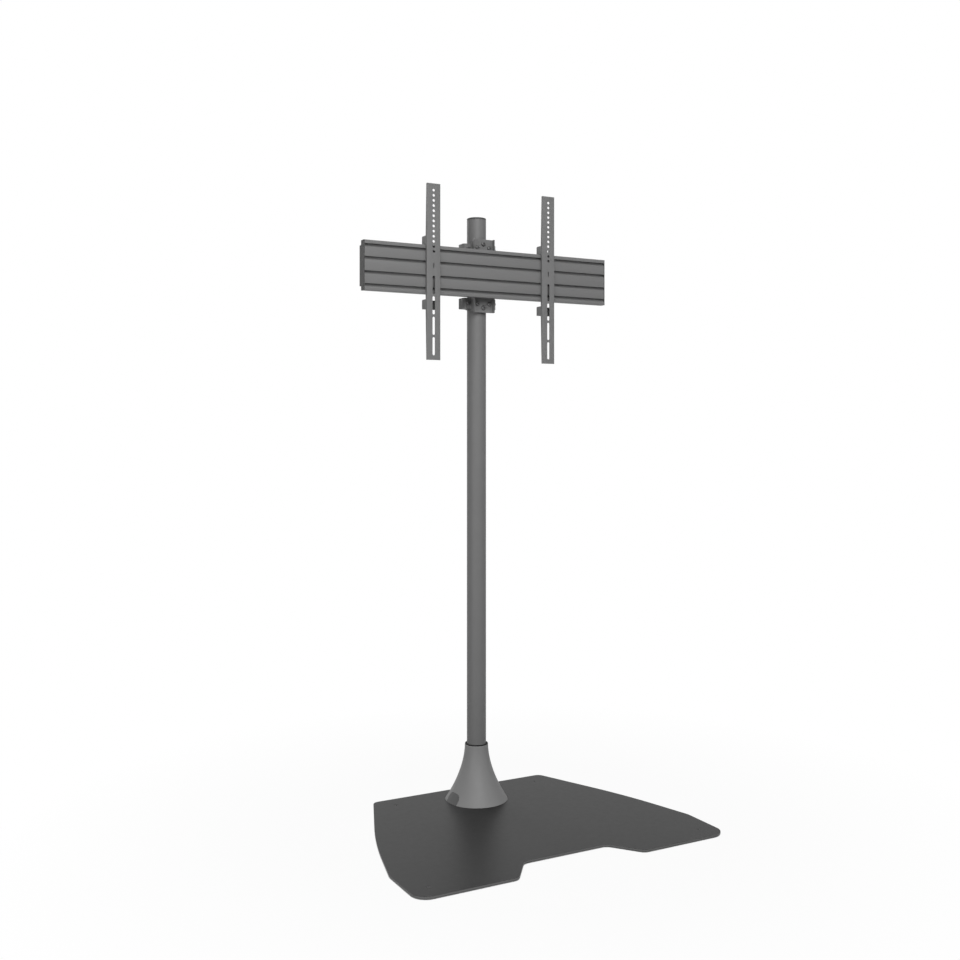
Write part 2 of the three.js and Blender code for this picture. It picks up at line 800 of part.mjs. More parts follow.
function chamberShape({ front, back, low, high }, clearance) {
  return roundedShape(rectangle(
    front + clearance,
    back - clearance,
    low + clearance,
    high - clearance,
    chamberRadius,
  ), fineSteps);
}

const railHalf = railLength / 2 - endCapThickness;

function rail() {
  const along = (shape) => acrossX(shape, -railHalf - overrun, railHalf + overrun);
  const back = { mouth: slotMouth, width: slotWidth, lip: slotLip, depth: slotDepth };
  return cut(acrossX(railSection(), -railHalf, railHalf), [
    ...grooveHeights.map((level) => along(frontGroove(level))),
    ...railBoltZ.map((z) => along(tGroove(-railBack, -1, z, back))),
    ...chambers.map((chamber) => along(chamberShape(chamber, 0))),
  ]).translate([0, 0, railMiddle]);
}

function railEndCap(side) {
  const flat = acrossX(railSection(), railHalf, railLength / 2);
  const plugs = chambers.map((chamber) => (
    acrossX(chamberShape(chamber, gap), railHalf - endCapPlug, railHalf + endCapThickness / 2)));
  const cap = join([flat, ...plugs]).translate([0, 0, railMiddle]);
  return side < 0 ? cap.mirror([1, 0, 0]) : cap;
}

// A T-bolt: its head lies in the rail's slot, and its shank passes the channel's web to a nut.
function railBolt(x, z) {
  const headFront = railBack + slotLip + gap + tHeadThickness;
  const headBack = headFront - tHeadThickness;
  const half = tHeadSize / 2;
  const head = block(x - half, x + half, -headFront, -headBack, z - half, z + half);
  const end = -webBack + m8.nut + threadProud;
  return head.add(rodToFront(m8.radius, end, -headBack - tHeadThickness / 2, x, z));
}

addMesh('rail', rail(), railFinish);
addMesh('rail_end_cap_left', railEndCap(-1), plasticFinish);
addMesh('rail_end_cap_right', railEndCap(1), plasticFinish);
for (const offset of railBoltZ) {
  for (const side of sideSigns) {
    const place = `${offset > 0 ? 'upper' : 'lower'}_${side < 0 ? 'left' : 'right'}`;
    addMesh(`${place}_rail_bolt`, railBolt(side * jawScrewX, railMiddle + offset), screwFinish);
    addMesh(`${place}_rail_nut`, hexNut(-webBack, side * jawScrewX, railMiddle + offset), screwFinish);
  }
}

// Screen arms

const railTop = railMiddle + railHalfHeight;
const railBottom = railMiddle - railHalfHeight;
const tabTop = railBottom - lockTabDrop;
const tabBottom = tabTop - lockTabHeight;
const lipGap = lipBack - gap; // where an arm's hook stands, behind the rail's upper lip
const armZ = railTop + armHead;
const armBottom = tabBottom - armTail;
const slotPitch = longSlotLength + longSlotBridge;
const lastHoleEdge = roundHoleStart + (roundHoleCount - 1) * roundHolePitch + roundHoleRadius;
const shortSlotStart = lastHoleEdge + shortSlotSpace;
const longSlotStart = shortSlotStart + shortSlotLength + longSlotSpace;
const longSlotRoom = armZ - armBottom - longSlotStart - longSlotMargin + longSlotBridge;
const longSlotCount = Math.floor(longSlotRoom / slotPitch);

function armWeb() {
  const half = armWidth / 2;
  const outline = roundedShape(rectangle(-half, half, armBottom, armZ, armCorner), fineSteps);
  const slot = (start, width, length) => {
    const top = armZ - start;
    return roundedShape(rectangle(-width / 2, width / 2, top - length, top, width / 2), holeCurve - 1);
  };
  outline.holes.push(slot(shortSlotStart, shortSlotWidth, shortSlotLength));
  for (let index = 0; index < longSlotCount; index += 1) {
    outline.holes.push(slot(longSlotStart + index * slotPitch, longSlotWidth, longSlotLength));
  }
  for (let index = 0; index < roundHoleCount; index += 1) {
    const hole = new THREE.Path();
    hole.absarc(0, armZ - roundHoleStart - index * roundHolePitch, roundHoleRadius, 0, turn);
    outline.holes.push(hole);
  }
  return acrossY(outline, -armFront, -armFront + armWall);
}

// One side flange, in Y and Z: it deepens towards the rail, hooks over its top and has the lock's tab below.
function armFlange(x0, x1) {
  const front = -armFront;
  const end = front + armEndDepth;
  const seat = -railFront - gap;
  return acrossX(roundedShape([
    [front, armBottom],
    [end, armBottom],
    [seat, Math.min(armBottom + armTaper, tabBottom)],
    [seat, tabBottom],
    [-hookBack, tabBottom, hookCorner],
    [-hookBack, tabTop, hookCorner],
    [seat, tabTop],
    [seat, railTop + gap],
    [-lipGap, railTop + gap],
    [-lipGap, railTop - hookDrop],
    [-lipGap + hookBarb, railTop - hookDrop],
    [-lipGap + hookBarb, railTop + hookHeight, hookCorner],
    [seat, railTop + hookHeight],
    [seat, Math.max(armZ - armTaper, railTop + hookHeight)],
    [end, armZ],
    [front, armZ],
  ], fineSteps), x0, x1);
}

function screenArm(x) {
  const half = armWidth / 2;
  return join([
    armWeb(),
    armFlange(-half, -half + armWall),
    armFlange(half - armWall, half),
  ]).translate([x, 0, 0]);
}

const lockScrewY = -lipBack + gap + lockScrewRadius;
const lockBlockBack = lockScrewY + lockBlockWall / 2;

function lockBlock(x) {
  const half = armWidth / 2 - armWall - gap;
  const body = acrossX(roundedShape(rectangle(
    lockBlockBack - lockBlockWall,
    lockBlockBack,
    tabBottom + gap,
    tabTop - gap,
    lockBlockEdge,
  ), fineSteps), -half, half);
  const bore = rod(lockScrewRadius + gap, tabBottom - overrun, tabTop + overrun);
  return body.subtract(bore.translate([0, lockScrewY, 0])).translate([x, 0, 0]);
}

function lockScrew(x) {
  const headTop = tabBottom;
  const headBottom = headTop - lockHeadHeight;
  const head = rod(lockHeadRadius, headBottom, headTop);
  const shank = rod(lockScrewRadius, headBottom + lockHeadHeight / 2, railBottom + lockScrewRise);
  const key = rod(lockKey, headBottom - overrun, headBottom + lockHeadHeight * keyDepthShare, 6);
  return head.add(shank).subtract(key).translate([x, lockScrewY, 0]);
}

for (const [name, x] of [['left', -armX], ['right', armX]]) {
  addMesh(`${name}_arm`, screenArm(x), mountFinish);
  addMesh(`${name}_lock_block`, lockBlock(x), mountFinish);
  addMesh(`${name}_lock_screw`, lockScrew(x), screwFinish);
}

export default stand;
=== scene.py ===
# %% [markdown]
# # A floor stand for a flat screen
#
# The real object is a flat steel plate with a round pole on it. A flared cover hides the pole's
# foot. Near the top, two clamps hold a bracket with a wide grooved rail, and two hooked arms
# carry the screen.
#
# The measured model gives every piece its place. This lesson dresses it: each piece is built
# again with the small rounded edges, threads and sockets that catch the light, and each finish
# is a material made of nodes. Because the measured model sits where it should, a new piece only
# has to be drawn in the same place.

# %% Load the measured model
import math
import bmesh
import bpy
from mathutils import Matrix, Vector


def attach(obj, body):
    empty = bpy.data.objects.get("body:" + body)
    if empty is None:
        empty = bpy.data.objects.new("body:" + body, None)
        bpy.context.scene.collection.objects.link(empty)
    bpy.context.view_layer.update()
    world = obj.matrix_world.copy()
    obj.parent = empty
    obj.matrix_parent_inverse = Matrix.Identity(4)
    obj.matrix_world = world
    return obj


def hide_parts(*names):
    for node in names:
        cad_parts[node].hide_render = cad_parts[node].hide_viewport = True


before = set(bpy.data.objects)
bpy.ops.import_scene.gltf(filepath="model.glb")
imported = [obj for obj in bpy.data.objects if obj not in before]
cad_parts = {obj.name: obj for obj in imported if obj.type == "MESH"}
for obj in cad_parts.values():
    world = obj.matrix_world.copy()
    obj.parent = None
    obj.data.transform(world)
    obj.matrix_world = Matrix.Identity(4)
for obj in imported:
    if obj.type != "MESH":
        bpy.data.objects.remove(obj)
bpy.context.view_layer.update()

# %% [markdown]
# ## Drawing in millimetres from the pole's axis
#
# A maker of metalwork thinks in millimetres, and nearly everything here is laid out round the
# pole. So pieces are drawn in millimetres with the pole's axis at X = Y = 0 and the floor at
# Z = 0, and one matrix brings a finished piece into the model's metres. Each piece's object
# stays at the origin, unturned, with its place in its mesh.

# %% The way from the drawing to the model
mm_per_metre = 1000
pole_y = 0.2455  # metres behind the middle of the plate
to_model = Matrix.Translation((0, pole_y, 0)) @ Matrix.Scale(1 / mm_per_metre, 4)
facing_front = Matrix.Rotation(math.pi / 2, 4, "X")  # a drawing's Z then points to the front, its Y up
facing_back = Matrix.Rotation(-math.pi / 2, 4, "X")  # a drawing's Z then points to the back
side_on = Matrix(((0, 0, 1, 0), (1, 0, 0, 0), (0, 1, 0, 0), (0, 0, 0, 1)))  # X to the back, Y up


def at(x=0, y=0, z=0, turned_by=Matrix.Identity(4)):
    return Matrix.Translation((x, y, z)) @ turned_by


def moved(shape, matrix):
    copy = shape.copy()
    bmesh.ops.transform(copy, matrix=matrix, verts=copy.verts)
    return copy


print("one millimetre becomes", to_model.to_scale()[0], "m")

# %% [markdown]
# ## Sheet, bar and turned parts
#
# Three moves make nearly every part of a metal stand. A plate or an extrusion is an outline that
# is pushed along one direction. Its rounded corners are true arcs, so each one is spun from a
# single point round the middle of its fillet. A pole, a cone or a screw head is a half profile
# that is spun all the way round.

# %% An outline with rounded corners
same_point = 0.0005  # points closer than this are merged


def draw_outline(shape, corners, arc_steps):
    """Draws a closed outline. Its corners are (x, y, radius), one after another."""
    ends = []
    for index, (x, y, radius) in enumerate(corners):
        here = Vector((x, y, 0))
        back = Vector((*corners[index - 1][:2], 0)) - here
        ahead = Vector((*corners[(index + 1) % len(corners)][:2], 0)) - here
        half = back.angle(ahead) / 2
        reach = min(radius / math.tan(half), back.length / 2, ahead.length / 2)
        first = last = shape.verts.new(here + back.normalized() * reach)
        if reach > 0:
            inwards = (back.normalized() + ahead.normalized()).normalized()
            middle = here + inwards * reach / math.cos(half)
            turn = math.copysign(math.pi - 2 * half, ahead.cross(back).z)
            spun = bmesh.ops.spin(shape, geom=[first], cent=middle, axis=(0, 0, 1),
                                  angle=turn, steps=arc_steps)
            last = next(item for item in spun["geom_last"] if isinstance(item, bmesh.types.BMVert))
        ends.append((first, last))
    for index, (_, last) in enumerate(ends):
        shape.edges.new((last, ends[(index + 1) % len(ends)][0]))
    bmesh.ops.remove_doubles(shape, verts=shape.verts, dist=same_point)


def box_outline(x0, x1, y0, y1, radius=0):
    return [(x0, y0, radius), (x1, y0, radius), (x1, y1, radius), (x0, y1, radius)]


print("outline points merge within", same_point, "mm")


# %% Pushing an outline into a solid
def pushed(corners, low, high, holes=(), arc_steps=8, one_face=False):
    """A plate from low to high, with its holes given as outlines too."""
    shape = bmesh.new()
    for outline in (corners, *holes):
        draw_outline(shape, outline, arc_steps)
    if one_face:
        faces = bmesh.ops.contextual_create(shape, geom=shape.edges[:])["faces"]
    else:
        filled = bmesh.ops.triangle_fill(shape, use_beauty=True, edges=shape.edges)
        faces = [item for item in filled["geom"] if isinstance(item, bmesh.types.BMFace)]
    bmesh.ops.translate(shape, vec=(0, 0, low), verts=shape.verts)
    top = bmesh.ops.extrude_face_region(shape, geom=faces)["geom"]
    top_points = [item for item in top if isinstance(item, bmesh.types.BMVert)]
    bmesh.ops.translate(shape, vec=(0, 0, high - low), verts=top_points)
    bmesh.ops.recalc_face_normals(shape, faces=shape.faces)
    return shape


# %% Turning a profile
def turned(profile, steps=96, ring=False):
    """The profile is (radius, z) points. A ring's profile is closed, and the others end on the axis."""
    shape = bmesh.new()
    points = [shape.verts.new((radius, 0, z)) for radius, z in profile]
    for one, two in zip(points, points[1:]):
        shape.edges.new((one, two))
    if ring:
        shape.edges.new((points[-1], points[0]))
    bmesh.ops.spin(shape, geom=shape.verts[:] + shape.edges[:], cent=(0, 0, 0), axis=(0, 0, 1),
                   angle=2 * math.pi, steps=steps, use_merge=True)
    bmesh.ops.remove_doubles(shape, verts=shape.verts, dist=same_point)
    bmesh.ops.recalc_face_normals(shape, faces=shape.faces)
    return shape


def bar(radius, low, high, sides=48):
    shape = bmesh.new()
    bmesh.ops.create_cone(shape, cap_ends=True, segments=sides, radius1=radius, radius2=radius,
                          depth=high - low, matrix=at(z=(low + high) / 2))
    return shape


def rounded_edge(radius, z, round_off, steps=5):
    """Profile points that turn from a side wall into a top face."""
    middle_radius, middle_z = radius - round_off, z - round_off
    quarter = [math.pi / 2 * step / steps for step in range(steps + 1)]
    return [(middle_radius + round_off * math.cos(a), middle_z + round_off * math.sin(a)) for a in quarter]


print("points in a rounded edge:", len(rounded_edge(10, 0, 1)))

# %% [markdown]
# ## Cutting and finishing
#
# Holes that cross a part are drilled with a Boolean modifier, and its result is read back, so no
# cutter stays in the scene. A real edge is never perfectly sharp: the powder coat rounds it, and
# a thin bright line shows there. A narrow Bevel modifier on the sharp edges gives each part that
# line, and it is the cheapest detail that makes metal look real.

# %% Cutting one shape with others
joined_within = 0.001  # a cut leaves points this close, and they are merged


def in_scene(name, data):
    thing = bpy.data.objects.new(name, data)
    bpy.context.scene.collection.objects.link(thing)
    return thing


def as_object(shape, name):
    mesh = bpy.data.meshes.new(name)
    shape.to_mesh(mesh)
    return in_scene(name, mesh)


def worked(shape, tools, operation="DIFFERENCE"):
    """Cuts, joins or trims a shape with a list of others, one after another."""
    body = as_object(shape, "work")
    cutters = [as_object(tool, "tool") for tool in tools]
    for cutter in cutters:
        step = body.modifiers.new("step", "BOOLEAN")
        step.operation, step.solver, step.object = operation, "EXACT", cutter
    bpy.context.view_layer.update()
    result = bmesh.new()
    result.from_object(body, bpy.context.evaluated_depsgraph_get())
    for thing in (body, *cutters):
        mesh = thing.data
        bpy.data.objects.remove(thing)
        bpy.data.meshes.remove(mesh)
    bmesh.ops.remove_doubles(result, verts=result.verts, dist=joined_within)
    bmesh.ops.dissolve_degenerate(result, edges=result.edges, dist=joined_within)
    return result


print("cuts merge within", joined_within, "mm")

# %% Bringing a finished piece into the model
shaded_sharp_above = math.radians(28)
softened_above = math.radians(35)
made_pieces = []


def place(shape, node, body, finish, edge=0):
    """The piece stands for the node of that name and moves with its body. Edge softens its edges."""
    bmesh.ops.transform(shape, matrix=to_model, verts=shape.verts)
    piece = as_object(shape, node + "_look")
    shape.free()
    mesh = piece.data
    mesh.polygons.foreach_set("use_smooth", [True] * len(mesh.polygons))
    mesh.set_sharp_from_angle(angle=shaded_sharp_above)
    mesh.materials.append(finish)
    if edge:
        soft = piece.modifiers.new("soft edges", "BEVEL")
        soft.width, soft.segments = edge / mm_per_metre, 2
        soft.limit_method, soft.angle_limit = "ANGLE", softened_above
        soft.use_clamp_overlap, soft.harden_normals = False, True
    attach(piece, body)
    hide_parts(node)
    made_pieces.append(piece)
    return piece


print("the tools are ready")

# %% [markdown]
# ## Finishes
#
# The stand is powder coated. Powder is sprayed dry and melts into a skin with a faint waviness,
# called orange peel, and a finer grain on top. Two noise textures at those real sizes feed a Bump
# node, and slower ones shift the colour and the gloss a little, because no coat is even. The
# textures read Object coordinates, so their grain has one scale on every piece.
#
# Grooves, sockets and inner corners get painted shade. An Ambient Occlusion node that sees only
# its own piece finds those places and darkens the colour there, and they stay dark when the piece
# moves.

# %% Node helpers
noise_low, noise_high = 0.3, 0.7  # nearly all of a noise texture's values lie between these


def grey(level):
    return (level, level, level)


def new_finish(name, base, roughness, metallic=0.0, specular=0.5):
    finish = bpy.data.materials.new(name)
    finish.use_nodes = True
    shader = finish.node_tree.nodes["Principled BSDF"]
    shader.inputs["Base Color"].default_value = (*base, 1)
    shader.inputs["Roughness"].default_value = roughness
    shader.inputs["Metallic"].default_value = metallic
    shader.inputs["Specular IOR Level"].default_value = specular
    return finish, finish.node_tree, shader


def noise(tree, size, detail, stretch=(1, 1, 1)):
    """A noise texture whose lumps are about this many millimetres across."""
    spot = tree.nodes.new("ShaderNodeTexCoord")
    mapping = tree.nodes.new("ShaderNodeMapping")
    mapping.inputs["Scale"].default_value = stretch
    texture = tree.nodes.new("ShaderNodeTexNoise")
    texture.inputs["Scale"].default_value = mm_per_metre / size
    texture.inputs["Detail"].default_value = detail
    tree.links.new(spot.outputs["Object"], mapping.inputs["Vector"])
    tree.links.new(mapping.outputs["Vector"], texture.inputs["Vector"])
    return texture.outputs["Fac"]


def spread(tree, value, low, high, start=noise_low, end=noise_high):
    """Turns values from start to end into others from low to high, such as roughness."""
    steps = tree.nodes.new("ShaderNodeMapRange")
    for socket, number in (("From Min", start), ("From Max", end), ("To Min", low), ("To Max", high)):
        steps.inputs[socket].default_value = number
    tree.links.new(value, steps.inputs["Value"])
    return steps.outputs["Result"]


def shades(tree, value, base, change):
    """A colour that drifts round the base by a share of it."""
    ramp = tree.nodes.new("ShaderNodeValToRGB")
    for stop, position, share in ((0, noise_low, 1 - change), (1, noise_high, 1 + change)):
        ramp.color_ramp.elements[stop].position = position
        ramp.color_ramp.elements[stop].color = (*(channel * share for channel in base), 1)
    tree.links.new(value, ramp.inputs["Fac"])
    return ramp.outputs["Color"]


def bumped(tree, texture, height, under=None):
    """Bumps of this many millimetres, on top of others if there are any."""
    bump = tree.nodes.new("ShaderNodeBump")
    bump.inputs["Strength"].default_value = 1.0
    bump.inputs["Distance"].default_value = height / mm_per_metre
    tree.links.new(texture, bump.inputs["Height"])
    if under:
        tree.links.new(under, bump.inputs["Normal"])
    return bump.outputs["Normal"]


print("noise is read from", noise_low, "to", noise_high)


# %% Two colours in one coat
def two_tones(tree, share, one, two):
    """The first where the share is 0, the second where it is 1. Each is a colour or a node's output."""
    mix = tree.nodes.new("ShaderNodeMix")
    mix.data_type = "RGBA"
    tree.links.new(share, mix.inputs["Factor"])
    for name, colour in (("A", one), ("B", two)):
        socket = next(s for s in mix.inputs if s.name == name and s.type == "RGBA")
        if isinstance(colour, tuple):
            socket.default_value = (*colour, 1)
        else:
            tree.links.new(colour, socket)
    return next(s for s in mix.outputs if s.type == "RGBA")


def painted_hollow_shade(tree, colour, base, reach=9, least=0.25):
    """Paints shade into a colour in grooves, sockets and inner corners of the same piece."""
    hollow = tree.nodes.new("ShaderNodeAmbientOcclusion")
    hollow.samples, hollow.only_local = 8, True
    hollow.inputs["Distance"].default_value = reach / mm_per_metre
    openness = spread(tree, hollow.outputs["AO"], 0, 1, start=0.15, end=0.75)
    return two_tones(tree, openness, tuple(channel * least for channel in base), colour)


# %% Powder coats
def powder_coat(name, base, roughness, specular, peel, grain, drift=0.03, patchy=0.035):
    """Peel and grain are (width, height) in millimetres. Drift shifts the colour, patchy the gloss."""
    finish, tree, shader = new_finish(name, base, roughness, specular=specular)
    drift_size, patch_size = 60, 14
    colour = shades(tree, noise(tree, drift_size, 3), base, drift)
    # the base colour gets painted shade in grooves, sockets and inner corners
    tree.links.new(painted_hollow_shade(tree, colour, base), shader.inputs["Base Color"])
    gloss = spread(tree, noise(tree, patch_size, 3), roughness - patchy, roughness + patchy)
    tree.links.new(gloss, shader.inputs["Roughness"])
    waviness = bumped(tree, noise(tree, peel[0], 1), peel[1])
    surface = bumped(tree, noise(tree, grain[0], 2), grain[1], waviness)
    tree.links.new(surface, shader.inputs["Normal"])
    return finish


plate_coat = powder_coat("plate_coat", grey(0.0135), 0.4, 0.14, peel=(3.5, 0.001), grain=(0.6, 0.002),
                         drift=0.015, patchy=0.012)
pole_coat = powder_coat("pole_coat", grey(0.137), 0.48, 0.3, peel=(3, 0.003), grain=(0.5, 0.003),
                        drift=0.02)
cone_coat = powder_coat("cone_coat", grey(0.202), 0.5, 0.3, peel=(2.5, 0.004), grain=(0.5, 0.004),
                        drift=0.02)
mount_coat = powder_coat("mount_coat", grey(0.151), 0.5, 0.2, peel=(2.5, 0.005), grain=(0.6, 0.006))
print("powder coats:", [m.name for m in (plate_coat, pole_coat, cone_coat, mount_coat)])

# %% [markdown]
# The plate is laser cut. Its sideways faces get a painted highlight: a lighter grey stands in for
# the light that catches its edge, a thin pale line round the dark plate. The Geometry node's normal
# tells a sideways face from a level one, so one material serves both, and the line stays on the
# edge from every side.

# %% The plate's painted edge highlight
# the lighter grey painted on sideways faces as a highlight
painted_edge_highlight_grey = grey(0.118)
tree = plate_coat.node_tree
shader = tree.nodes["Principled BSDF"]
geometry = tree.nodes.new("ShaderNodeNewGeometry")
directions = tree.nodes.new("ShaderNodeSeparateXYZ")
tree.links.new(geometry.outputs["Normal"], directions.inputs["Vector"])
sideways = spread(tree, directions.outputs["Z"], 1, 0, start=0.2, end=0.9)
flat_colour = shader.inputs["Base Color"].links[0].from_socket
tree.links.new(two_tones(tree, sideways, flat_colour, painted_edge_highlight_grey), shader.inputs["Base Color"])
print("the cut edge's grey:", painted_edge_highlight_grey[0])

# %% [markdown]
# The rail is extruded aluminium under a thin coat. The die leaves fine lines along its length,
# and they still show through. The same noise does it, stretched along X: a small scale on one
# axis makes each lump long in that direction.

# %% The rail's coat, with its drawn lines
rail_grey, rail_roughness = grey(0.143), 0.46
rail_coat, tree, shader = new_finish("rail_coat", rail_grey, rail_roughness, metallic=0.1, specular=0.25)
rail_colour = shades(tree, noise(tree, 80, 3, stretch=(0.15, 1, 1)), rail_grey, 0.04)
# the rail's colour gets painted shade in its grooves, slots and inner corners
tree.links.new(painted_hollow_shade(tree, rail_colour, rail_grey), shader.inputs["Base Color"])
lines = noise(tree, 0.7, 2, stretch=(0.006, 1, 1))
rail_gloss = spread(tree, lines, rail_roughness - 0.04, rail_roughness + 0.05)
tree.links.new(rail_gloss, shader.inputs["Roughness"])
drawn = bumped(tree, lines, 0.006)
tree.links.new(bumped(tree, noise(tree, 0.6, 2), 0.003, drawn), shader.inputs["Normal"])
print("lines in the rail's coat:", rail_coat.name)

# %% [markdown]
# Screws are blackened steel, with painted shade in their sockets, and the levelling screws are the
# darkest. Three kinds of cap and cover are moulded plastic, and the pads and the cone's collar are rubber.


# %% Black screws, moulded plastic and rubber
def blackened_steel(name, base):
    finish, tree, shader = new_finish(name, base, 0.38, metallic=0.6)
    colour = shades(tree, noise(tree, 4, 3), base, 0.25)
    # painted shade darkens the sockets and inner corners
    tree.links.new(painted_hollow_shade(tree, colour, base, reach=5, least=0.1), shader.inputs["Base Color"])
    tree.links.new(spread(tree, noise(tree, 1.2, 3), 0.3, 0.46), shader.inputs["Roughness"])
    tree.links.new(bumped(tree, noise(tree, 0.5, 2), 0.006), shader.inputs["Normal"])
    return finish


def moulded(name, base, roughness, specular, grain):
    """Grain is a width and a height in millimetres."""
    finish, tree, shader = new_finish(name, base, roughness, specular=specular)
    tree.links.new(shades(tree, noise(tree, 30, 2), base, 0.06), shader.inputs["Base Color"])
    gloss = spread(tree, noise(tree, 2, 2), roughness - 0.04, roughness + 0.04)
    tree.links.new(gloss, shader.inputs["Roughness"])
    tree.links.new(bumped(tree, noise(tree, grain[0], 3), grain[1]), shader.inputs["Normal"])
    return finish


black_steel = blackened_steel("black_steel", grey(0.09))
dark_steel = blackened_steel("dark_steel", grey(0.04))
cap_plastic = moulded("cap_plastic", grey(0.055), 0.55, 0.25, grain=(0.4, 0.02))
cover_plastic = moulded("cover_plastic", grey(0.072), 0.5, 0.4, grain=(0.4, 0.01))
rubber = moulded("rubber", grey(0.012), 0.8, 0.2, grain=(0.7, 0.03))
print("other finishes:", [m.name for m in (black_steel, dark_steel, cap_plastic, cover_plastic, rubber)])

# %% [markdown]
# ## Floor plate
#
# The plate is 6 mm steel, laser cut and coated. Its front has a recess between two toes, its
# sides bend once on their way back, and its back is narrower. One half is listed and mirrored,
# so the two sides stay alike. A levelling screw sits in each corner, in a countersunk hole, and
# rubber pads under the plate carry the weight.

# %% The plate's outline
plate_low, plate_top = 2, 8
same_level = 0.01  # points this close in height are level
right_half = [
    (133, -519, 28),  # the recess's inner corner
    (200, -608, 28),  # the toe begins
    (490, -608, 45),  # front corner
    (490, -433, 70),  # the side turns inwards
    (428.7, -197, 2200),  # its long soft bend
    (300, 117, 25),  # back corner
]
plate_corners = right_half + [(-x, y, radius) for x, y, radius in reversed(right_half)]
plate = pushed(plate_corners, plate_low, plate_top, arc_steps=20, one_face=True)
plate_rims = [edge for edge in plate.edges if abs(edge.verts[0].co.z - edge.verts[1].co.z) < same_level]
bmesh.ops.bevel(plate, geom=plate_rims, offset=0.8, segments=3, profile=0.5, affect="EDGES", material=-1)
print("plate outline corners:", len(plate_corners))

# %% Its holes
m10_hole, m8_hole = 5.3, 4.3  # radii of clearance holes
countersink, past = 1.5, 0.6  # the drill's cone, below and above the top
bolt_circle = 57.5
levellers = {"front_left": (-432, -550), "front_right": (432, -550),
             "back_left": (-248, 58), "back_right": (248, 58)}
bolt_angles = [math.pi / 4 * n for n in (1, 3, 5, 7)]
flange_bolts = [(bolt_circle * math.cos(a), bolt_circle * math.sin(a)) for a in bolt_angles]
drill = turned([(0, plate_low - 1), (m10_hole, plate_low - 1), (m10_hole, plate_top - countersink),
                (m10_hole + countersink + past, plate_top + past), (0, plate_top + past)], 40)
plate = worked(plate, [moved(drill, at(x, y)) for x, y in (*levellers.values(), *flange_bolts)])
plate = place(plate, "base_plate", "stand", plate_coat)
flat = plate.modifiers.new("flat faces", "WEIGHTED_NORMAL")
flat.keep_sharp, flat.weight = True, 100
print("plate holes:", len(levellers) + len(flange_bolts))

# %% Pads
pad_radius, pad_edge, pad_inwards = 20, 0.4, 45
pad_face = pad_radius - pad_edge
pad_profile = [(0, plate_low), (pad_face, plate_low), (pad_radius, plate_low - pad_edge),
               (pad_radius, pad_edge), (pad_face, 0)]
for groove in (16, 12, 8, 4):
    pad_profile += [(groove + out, z) for out, z in ((0.8, 0), (0.5, 0.5), (-0.5, 0.5), (-0.8, 0))]
pad = turned(pad_profile + [(0, 0)], steps=64)
print("pad radius:", pad_radius, "mm")


# %% Levelling screws
def threaded(radius, low, high, pitch=1.25, chamfer=0.8):
    """Profile points down a threaded shank, from its top to its tip on the axis."""
    groove = pitch * 0.45  # its depth and half its width
    points, z = [(radius, high)], high - pitch
    while z > low + chamfer + pitch:
        points += [(radius, z), (radius - groove, z - groove), (radius, z - 2 * groove)]
        z -= pitch
    return points + [(radius, low + chamfer), (radius - chamfer, low), (0, low)]


radius, foot, rim, top = 5, 0.8, 7.1, 7.7
thread = threaded(radius, foot, rim, pitch=1.0, chamfer=0.7)
leveller = turned([(0, top), (radius - 0.6, top), (radius, rim)] + thread, 48)
leveller = worked(leveller, [bar(2.5, top - 3, top + 1, 6)])
for corner, (x, y) in levellers.items():
    pad_x = x - math.copysign(pad_inwards, x)
    screw = moved(leveller, at(x, y))
    place(moved(pad, at(pad_x, y)), "floor_pad_" + corner, "stand", rubber)
    place(screw, "levelling_screw_" + corner, "leveller_" + corner, dark_steel)
print("corners:", list(levellers))

# %% [markdown]
# ## Pole and flange
#
# A flange with a spigot is bolted to the plate, and the tube slides over the spigot. Cables go
# in through a long narrow slot behind the mount and come out through a wider slot at the foot.
# The tube is a ring profile spun round the axis. The profile has extra points near each slot:
# a cut through a very long facet would spoil the smooth shading along the whole pole.

# %% The slots and screw holes that cross the pole
pole_radius, pole_bore, pole_foot, tube_top, cap_top = 30, 27, 18, 1819.5, 1825
rail_middle = 1640
outlet_turn, entry_turn = 0.236, 0.119  # shares of a whole turn, from the front


def round_the_pole(shape, turns):
    """Turns a shape that faces the front, clockwise seen from above."""
    return moved(shape, Matrix.Rotation(-2 * math.pi * turns, 4, "Z"))


def wall_slot(width, low, high, turns):
    """Cuts a round-ended slot through one wall of the pole."""
    half, near, far = width / 2, 12, 35
    slot = pushed(box_outline(-half, half, low, high, half), near, far, arc_steps=10)
    return round_the_pole(moved(slot, facing_front), turns)


outlet_slot = wall_slot(22, pole_foot + 12, pole_foot + 67, outlet_turn)
entry_slot = wall_slot(9, rail_middle - 60, rail_middle + 60, entry_turn)
screw_turns = {"pole_screw_1": 0.5, "pole_screw_2": 0.75}
screw_height = pole_foot + 85
wall_drill = moved(bar(m8_hole, 5, 36), at(z=screw_height, turned_by=facing_front))
screw_holes = [round_the_pole(wall_drill, turns) for turns in screw_turns.values()]
print("pole screws at", screw_height, "mm")

